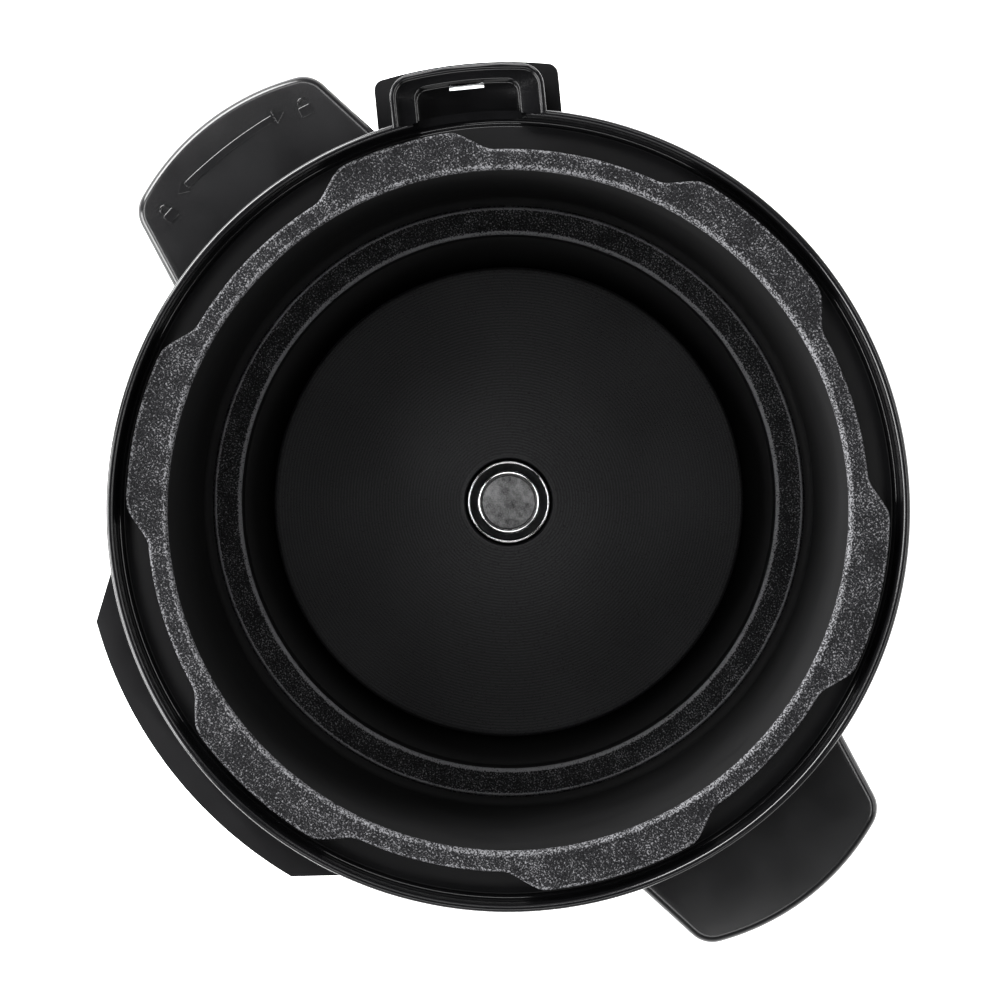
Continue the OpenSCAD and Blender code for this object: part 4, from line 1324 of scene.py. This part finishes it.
        collar.repaint("shelf_satin", on_shelf)


# ---- The handles ----


class Side(Enum):
    """Which side of the cooker a handle is on, by its angle about the axis."""

    RIGHT = 0
    LEFT = 180


@dataclass
class Handle:
    """One side handle: drafted sides, round corners, a slightly bowed nose and a finger pocket. Millimetres."""

    side: Side
    reach: float = 165.8
    nose_r: float = 84.0
    side_off: float = 63.5
    draft: float = 9.6
    corner: float = 10.0
    yaw: float = 0.5
    collar_r: float = 134.35
    top_in: float = 214.0
    top_out: float = 211.6
    edge_round: float = 2.6

    def top_at(self, x: float) -> float:
        """Height of the sloping top at a distance from the axis."""
        return self.top_in + (self.top_out - self.top_in) * (x - 128) / (self.reach - 3 - 128)

    def plan(self, inset: float) -> Profile:
        """The handle's outline seen from above, along +X.

        Args:
            inset: Distance by which it lies inside the outer outline.

        Returns:
            The outline's points.
        """
        nose_r, centre = self.nose_r - inset, Vector((self.reach - self.nose_r, 0))
        turn = math.radians(self.draft)
        side, along = Vector((math.sin(turn), math.cos(turn))), Vector((math.cos(turn), -math.sin(turn)))
        base = side * (self.side_off - inset - self.corner)
        gap = base - centre
        ahead = -gap.dot(along)
        ahead += math.sqrt(gap.dot(along) ** 2 - gap.length_squared + (nose_r - self.corner) ** 2)
        spot = base + along * ahead
        lean = math.degrees(math.atan2(spot.y, spot.x - centre.x))
        root = side * (self.side_off - inset) + along * 100
        upper = [tuple(root), *arc(tuple(spot), self.corner, 90 - self.draft, lean, 8)]
        upper += arc(tuple(centre), nose_r, lean, 0, 14)[1:]
        return [*[(x, -y) for x, y in upper[:-1]], *reversed(upper)]

    def profile_cutter(self) -> Workpiece:
        """The handle's side view, drawn and extruded across it."""
        r = self.reach
        section = [
            (120, self.top_at(120)), (r + 10, self.top_at(r + 10)), (r + 10, 198.4),
            (r - 7, 198.4), (147, 192.8), (141, 190.5), (128, 189), (120, 188.6),
        ]
        return Workpiece.extruded("cutter", [(x, -65, z) for x, z in section], (0, 130, 0))

    def build(self) -> None:
        """Shape the handle along +X, round its rim, hollow its pocket and turn it to its side."""
        name = f"handle_{self.side.name.lower()}"
        grip = Workpiece.prism(name + "_moulding", self.plan(0), 180, 222)
        grip.combine(self.profile_cutter(), Join.KEEP_COMMON)
        rim = self.top_at(self.reach) - 3
        inner = 133 * MM

        def on_rim(edge: bmesh.types.BMEdge) -> bool:
            """Whether an edge runs along the outer border of the top."""
            tops = [f for f in edge.link_faces if f.normal.z > 0.9]
            middle = (edge.verts[0].co + edge.verts[1].co) / 2
            return len(tops) == 1 and middle.z > rim * MM and middle.x > 122 * MM

        grip.pick(Pick.EDGES, on_rim)
        grip.bevel(self.edge_round, 6, False)
        grip.combine(Workpiece.ring("cutter", self.collar_r, 170, 230, 240), Join.CUT)
        pocket = [p for p in self.plan(4) if p[0] > 146]
        width = (self.side_off - 4 - 146 * math.sin(math.radians(self.draft))) / math.cos(math.radians(self.draft))
        pocket = [(146, -width), *pocket, (146, width)]
        grip.combine(Workpiece.prism("cutter", pocket, 175, 207.5), Join.CUT)

        def on_underside(edge: bmesh.types.BMEdge) -> bool:
            """Whether a sharp edge lies below the top and clear of the collar."""
            low = min(v.co.z for v in edge.verts) < 205 * MM
            return edge.calc_face_angle(0) > 0.7 and low and edge.verts[0].co.x > inner + 4 * MM

        grip.pick(Pick.EDGES, on_underside)
        grip.bevel(0.5, 2)
        grip.settle()
        grip.obj.rotation_euler.z = math.radians(self.side.value + self.yaw)
        grip.finish("base_unit", "black_gloss", "handle_gloss", [name], angle=30)
        if self.side is Side.LEFT:
            self.emboss()

    def emboss(self) -> None:
        """Raise the turning arrow and a padlock at each end of it on the handle's top."""
        mid, half, width = 153.7, 7.0, 1.25
        outlines = [arc((0, 0), mid + width, -half, half, 24) + arc((0, 0), mid - width, half, -half, 24)]
        for sign in (-1, 1):
            tip, base = math.radians(sign * (half + 1.5)), math.radians(sign * half)
            outlines.append([
                (mid * math.cos(tip), mid * math.sin(tip)),
                ((mid + 2.6) * math.cos(base), (mid + 2.6) * math.sin(base)),
                ((mid - 2.6) * math.cos(base), (mid - 2.6) * math.sin(base)),
            ][:: -sign])
            outlines += [turned_plan(o, sign * 11.0) for o in self.padlock(mid - 1.8, sign > 0)]
        marks = [self.raised(f"mark_{i}", outline) for i, outline in enumerate(outlines)]
        marks[0].merge(marks[1:])
        marks[0].soften(0.2, 40, 2)
        marks[0].obj.rotation_euler.z = math.radians(self.side.value + self.yaw)
        marks[0].obj.name = "handle_left_marks"
        marks[0].finish("base_unit", "black_gloss", "handle_gloss", angle=20)

    def padlock(self, radius: float, shut: bool) -> list[Profile]:
        """A plain padlock lying across the handle.

        Args:
            radius: Distance of its middle from the axis.
            shut: Whether its shackle reaches the body at both ends.

        Returns:
            The outlines of the body and the shackle.
        """
        body = rounded_rect(radius - 3.2, radius + 0.4, -2.3, 2.3, 0.6, 3)
        leg = 0.0 if shut else 1.1
        outer = [(radius + 0.5, 1.7), *arc((radius + 1.6, 0), 1.7, 90, -90, 10), (radius + 0.5 + leg, -1.7)]
        inner = [(radius + 0.5 + leg, -0.9), *arc((radius + 1.6, 0), 0.9, -90, 90, 10), (radius + 0.5, 0.9)]
        return [body, (outer + inner)[::-1]]

    def raised(self, name: str, outline: Profile) -> Workpiece:
        """A low relief on the sloping top, following its slope.

        Args:
            name: Name of the piece.
            outline: Its plan.

        Returns:
            The piece.
        """
        return Workpiece.extruded(name, [(x, y, self.top_at(x) - 0.5) for x, y in outline], (0, 0, 0.85))


# ---- The front panel ----


class Key(Enum):
    """The panel's keys, by column (-1 left, 1 right) and row from the bottom."""

    START = (1, 0)
    CANCEL = (-1, 0)
    PLUS = (1, 1)
    MINUS = (-1, 1)
    TIMER = (1, 2)
    PRESSURE = (-1, 2)
    MENU = (1, 3)
    WARM = (-1, 3)


def rect(x0: float, x1: float, y0: float, y1: float) -> Profile:
    """The outline of a plain rectangle."""
    return [(x0, y0), (x1, y0), (x1, y1), (x0, y1)]


def band(centre: tuple[float, float], outer: float, inner: float, start: float, end: float) -> Profile:
    """The outline of a curved band between two radii and two angles."""
    return arc(centre, outer, start, end, 16) + arc(centre, inner, end, start, 16)


def wave(x: float) -> Profile:
    """The outline of a rising wavy line at x."""
    spine = [(x + 0.6 * math.sin(TURN * i / 12), -2.8 + 5.6 * i / 12) for i in range(13)]
    return [(u - 0.35, v) for u, v in spine] + [(u + 0.35, v) for u, v in reversed(spine)]


KEY_MARKS: dict[Key, list[Profile]] = {
    Key.START: [[(-2.0, -2.7), (2.8, 0), (-2.0, 2.7)]],
    Key.CANCEL: [rounded_rect(-2.2, 2.2, -2.2, 2.2, 0.5, 3)],
    Key.PLUS: [[
        (-2.8, -0.5), (-0.5, -0.5), (-0.5, -2.8), (0.5, -2.8), (0.5, -0.5), (2.8, -0.5),
        (2.8, 0.5), (0.5, 0.5), (0.5, 2.8), (-0.5, 2.8), (-0.5, 0.5), (-2.8, 0.5),
    ]],
    Key.MINUS: [rect(-2.8, 2.8, -0.5, 0.5)],
    Key.TIMER: [
        band((0, 0), 3.1, 2.5, 4, 176), band((0, 0), 3.1, 2.5, 184, 356),
        [(-0.3, -0.3), (1.5, -0.3), (1.5, 0.3), (0.3, 0.3), (0.3, 1.9), (-0.3, 1.9)],
    ],
    Key.PRESSURE: [band((0, -0.8), 3.3, 2.7, -25, 205), [(-0.55, -1.3), (0.35, -1.5), (1.5, 1.1)]],
    Key.MENU: [rect(-2.8, 2.8, y - 0.35, y + 0.35) for y in (-1.9, 0, 1.9)],
    Key.WARM: [wave(x) for x in (-2.1, 0, 2.1)],
}


@dataclass
class FrontPanel:
    """The bowed control panel: housing, display digits and eight marked keys. Millimetres."""

    face_r: float = 144.9
    key_r: float = 145.7
    key_x: float = 22.5
    first_row: float = 77.0
    row_pitch: float = 18.0
    display_z: float = 163.0
    digit_pitch: float = 10.6
    digit_w: float = 6.0
    digit_h: float = 11.6
    stroke: float = 1.0

    def inlay(self, name: str, outlines: list[Profile], x: float, z: float, radius: float) -> Workpiece:
        """A thin mark set into the panel's bowed face.

        Args:
            name: Name of the piece.
            outlines: The mark's outlines about its middle, seen from the front.
            x: Its middle across the panel.
            z: Its height.
            radius: Radius of the face that it is set into.

        Returns:
            The piece.
        """
        parts = [
            Workpiece.extruded(f"{name}_{i}", [(x + u, -150, z + v) for u, v in outline], (0, 14, 0))
            for i, outline in enumerate(outlines)
        ]
        mark = parts[0].merge(parts[1:])
        mark.combine(Workpiece.ring("keep", radius + 0.05, z - 30, z + 30, 720), Join.KEEP_COMMON)
        mark.combine(Workpiece.ring("cutter", radius - 0.35, z - 40, z + 40, 720), Join.CUT)
        mark.obj.name = name
        return mark

    def digit(self, x: float) -> list[Profile]:
        """The seven bars of a digit about x.

        Args:
            x: The digit's middle.

        Returns:
            The outline of each bar.
        """
        w, h, t = self.digit_w / 2, self.digit_h / 2, self.stroke / 2
        g = t + 0.15
        bars = [rect(x - w + g, x + w - g, y - t, y + t) for y in (-h, 0, h)]
        for side in (x - w, x + w):
            bars += [rect(side - t, side + t, g, h - g), rect(side - t, side + t, g - h, -g)]
        return bars

    def build(self) -> None:
        """Soften the housing and keys, and set in the marks and the digits."""
        Workpiece.from_node("panel_housing_soft", "panel_housing").soften(0.8, 40, 3).finish(
            "base_unit", "black_satin", replaced=["panel_housing"])
        for key in Key:
            name = f"key_{key.name.lower()}"
            column, row = key.value
            cap = Workpiece.from_node(name + "_soft", name).soften(0.3, 50, 2)
            cap.finish(name + "_cap", "key_plastic", replaced=[name])
            height = self.first_row + row * self.row_pitch
            mark = self.inlay(name + "_mark", KEY_MARKS[key], column * self.key_x, height, self.key_r)
            mark.finish(name + "_cap", "key_plastic", "key_mark")
        bars = [bar for i in (-1.7, -0.6, 0.6, 1.7) for bar in self.digit(i * self.digit_pitch)]
        bars += [rect(-0.5, 0.5, y - 0.5, y + 0.5) for y in (-2, 2)]
        digits = self.inlay("display_digits", bars, 0, self.display_z, self.face_r)
        digits.finish("base_unit", "display_glass", "segment")


# ---- Body, feet, inlet and cup ----


@dataclass(frozen=True)
class SoftNode:
    """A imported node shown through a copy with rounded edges.

    Attributes:
        node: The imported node.
        slot: Its slot.
        width: Width of the rounding, in millimetres.
        body: The body that it rides on.
        angle: Smallest angle between faces that is rounded.
    """

    node: str
    slot: str
    width: float
    body: str = "base_unit"
    angle: float = 40

    def build(self) -> None:
        """Copy, round and dress the node."""
        piece = Workpiece.from_node(self.node + "_soft", self.node).soften(self.width, self.angle, 3)
        piece.finish(self.body, self.slot, replaced=[self.node])


@dataclass
class BodyParts:
    """The base, its feet and inlet, and the cup with its holder, each with rounded edges."""

    nodes: tuple[SoftNode, ...] = (
        SoftNode("base_cover", "black_satin", 0.8),
        SoftNode("rubber_feet", "rubber", 0.6),
        SoftNode("inlet_socket", "black_satin", 0.3),
        SoftNode("condensate_cup", "clear_plastic", 0.4, body="cup"),
    )

    def build(self) -> None:
        """Build each piece in turn, then the cup's holder with its drip opening."""
        for node in self.nodes:
            node.build()
        holder = Workpiece.from_node("cup_holder_soft", "cup_holder")
        opening = Workpiece.block("cutter", (146, -8.9, 120), (165, 8.9, 128))
        opening.obj.rotation_euler.z = math.radians(SPOUT_ANGLE)
        holder.combine(opening, Join.CUT).soften(0.7, 40, 3)
        holder.finish("base_unit", "black_satin", replaced=["cup_holder"])


def dress_rest() -> None:
    """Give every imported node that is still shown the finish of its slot."""
    slots = {part["node"]: part["material_slot"] for part in frame["record"]["subparts"]}
    for name, obj in frame["nodes"].items():
        if obj.hide_render:
            continue
        for i in range(max(1, len(obj.data.materials))):
            if i < len(obj.data.materials):
                obj.data.materials[i] = Paint.get(slots[name])
            else:
                obj.data.materials.append(Paint.get(slots[name]))
        LOG.info("%s dressed as %s", name, slots[name])


# ---- The stage ----


@dataclass(frozen=True)
class Lamp:
    """A soft rectangular light that looks at the cooker. Metres and watts.

    Attributes:
        name: Name of the light.
        turn: Its angle from the camera's upward direction.
        height: How high it hangs.
        reach: How far from the axis.
        size: Its width and height.
        power: Its power.
    """

    name: str
    turn: float
    height: float
    reach: float
    size: tuple[float, float]
    power: float


OVERHEAD_POWERS = (10, 15, 8, 10)
LAMPS = (
    Lamp("key_light", 105, 0.9, 1.6, (1.4, 0.9), 50),
    Lamp("side_light", 40, 0.9, 1.6, (1.1, 0.8), 55),
    Lamp("fill_light", -90, 0.8, 1.8, (1.2, 0.7), 5),
    *(Lamp(f"overhead_{i}", 90 * i, 2.1, 1.15, (1.6, 0.4), power) for i, power in enumerate(OVERHEAD_POWERS)),
)


@dataclass
class Studio:
    """A pale floor, a dark ceiling with a pale horizon, soft low lights and the camera. Metres."""

    floor_half: float = 8.0
    camera_height: float = 1.571
    up_angle: float = 142.7
    lens: float = 145.3
    focal_px: float = 4036.0
    shift_up: float = 0.0294
    shift_right: float = 0.002
    lean_up: float = 77.0
    lean_right: float = 14.0
    aim_height: float = 0.15

    def direction(self, angle: float) -> Vector:
        """The level direction at an angle about the upright axis."""
        return Vector(polar(1, angle))

    def floor(self) -> None:
        """Lay the floor."""
        Workpiece.clear()
        bpy.ops.mesh.primitive_plane_add(size=2 * self.floor_half)
        plane = Workpiece("floor").obj
        material = bpy.data.materials.new("floor_white")
        material.use_nodes = True
        sheet = NodeSheet(material.node_tree)
        for socket, value in (("Roughness", 0.9), ("Specular IOR Level", 0.1), ("Emission Strength", 0.85)):
            sheet.set(socket, value)
        sheet.shader.inputs["Base Color"].default_value = (0.9, 0.9, 0.9, 1)
        sheet.shader.inputs["Emission Color"].default_value = (1, 1, 1, 1)
        plane.data.materials.append(material)

    def sky(self) -> None:
        """Light the world: dark overhead, pale towards the horizon."""
        world = bpy.data.worlds.new("studio")
        world.use_nodes = True
        bpy.context.scene.world = world
        tree = world.node_tree
        place = tree.nodes.new("ShaderNodeTexCoord")
        split = tree.nodes.new("ShaderNodeSeparateXYZ")
        tree.links.new(place.outputs["Generated"], split.inputs[0])
        ramp = tree.nodes.new("ShaderNodeValToRGB")
        stops = ((0.0, 0.95), (0.2, 0.7), (0.45, 0.08), (0.85, 0.02))
        while len(ramp.color_ramp.elements) < len(stops):
            ramp.color_ramp.elements.new(0.5)
        for element, (position, value) in zip(ramp.color_ramp.elements, stops):
            element.position = position
            element.color = (value, value, value, 1)
        tree.links.new(split.outputs[2], ramp.inputs["Fac"])
        background = next(n for n in tree.nodes if n.type == "BACKGROUND")
        tree.links.new(ramp.outputs["Color"], background.inputs["Color"])

    def light(self, lamp: Lamp) -> None:
        """Hang one of the lights.

        Args:
            lamp: Its place, size and power.
        """
        data = bpy.data.lights.new(lamp.name, "AREA")
        data.shape = "RECTANGLE"
        data.size, data.size_y = lamp.size
        data.energy = lamp.power
        light = bpy.data.objects.new(lamp.name, data)
        bpy.context.collection.objects.link(light)
        light.location = self.direction(self.up_angle + lamp.turn) * lamp.reach + Vector((0, 0, lamp.height))
        light.rotation_euler = (Vector((0, 0, self.aim_height)) - light.location).to_track_quat("-Z", "Y").to_euler()

    def camera(self) -> None:
        """Set up the camera almost straight overhead."""
        up, right = self.direction(self.up_angle), self.direction(self.up_angle - 90)
        eye = up * self.shift_up + right * self.shift_right + Vector((0, 0, self.camera_height))
        lean_up, lean_right = self.lean_up / self.focal_px, self.lean_right / self.focal_px
        ahead = Vector((0, 0, -1)) - up * lean_up - right * lean_right
        ahead.normalize()
        side = ahead.cross(up).normalized()
        data = bpy.data.cameras.new("camera")
        data.lens = self.lens
        data.sensor_width = 36
        data.clip_end = 50
        camera = bpy.data.objects.new("camera", data)
        bpy.context.collection.objects.link(camera)
        turn = Matrix((side, side.cross(ahead), -ahead)).transposed()
        camera.matrix_world = Matrix.Translation(eye) @ turn.to_4x4()
        bpy.context.scene.camera = camera

    def build(self) -> None:
        """Build the stage."""
        self.floor()
        self.sky()
        for lamp in LAMPS:
            self.light(lamp)
        self.camera()
        bpy.context.scene.view_settings.view_transform = "Standard"


def main() -> None:
    """Build the cooker's pieces in order, dress the rest and set the stage."""
    logging.basicConfig(level=logging.INFO, format="%(name)s: %(message)s")
    LockingPot().build()
    Collar().build()
    HeatingPlate().build()
    PressureSensor().build()
    for side in Side:
        Handle(side).build()
    FrontPanel().build()
    BodyParts().build()
    dress_rest()
    Studio().build()


if __name__ == "__main__":
    main()
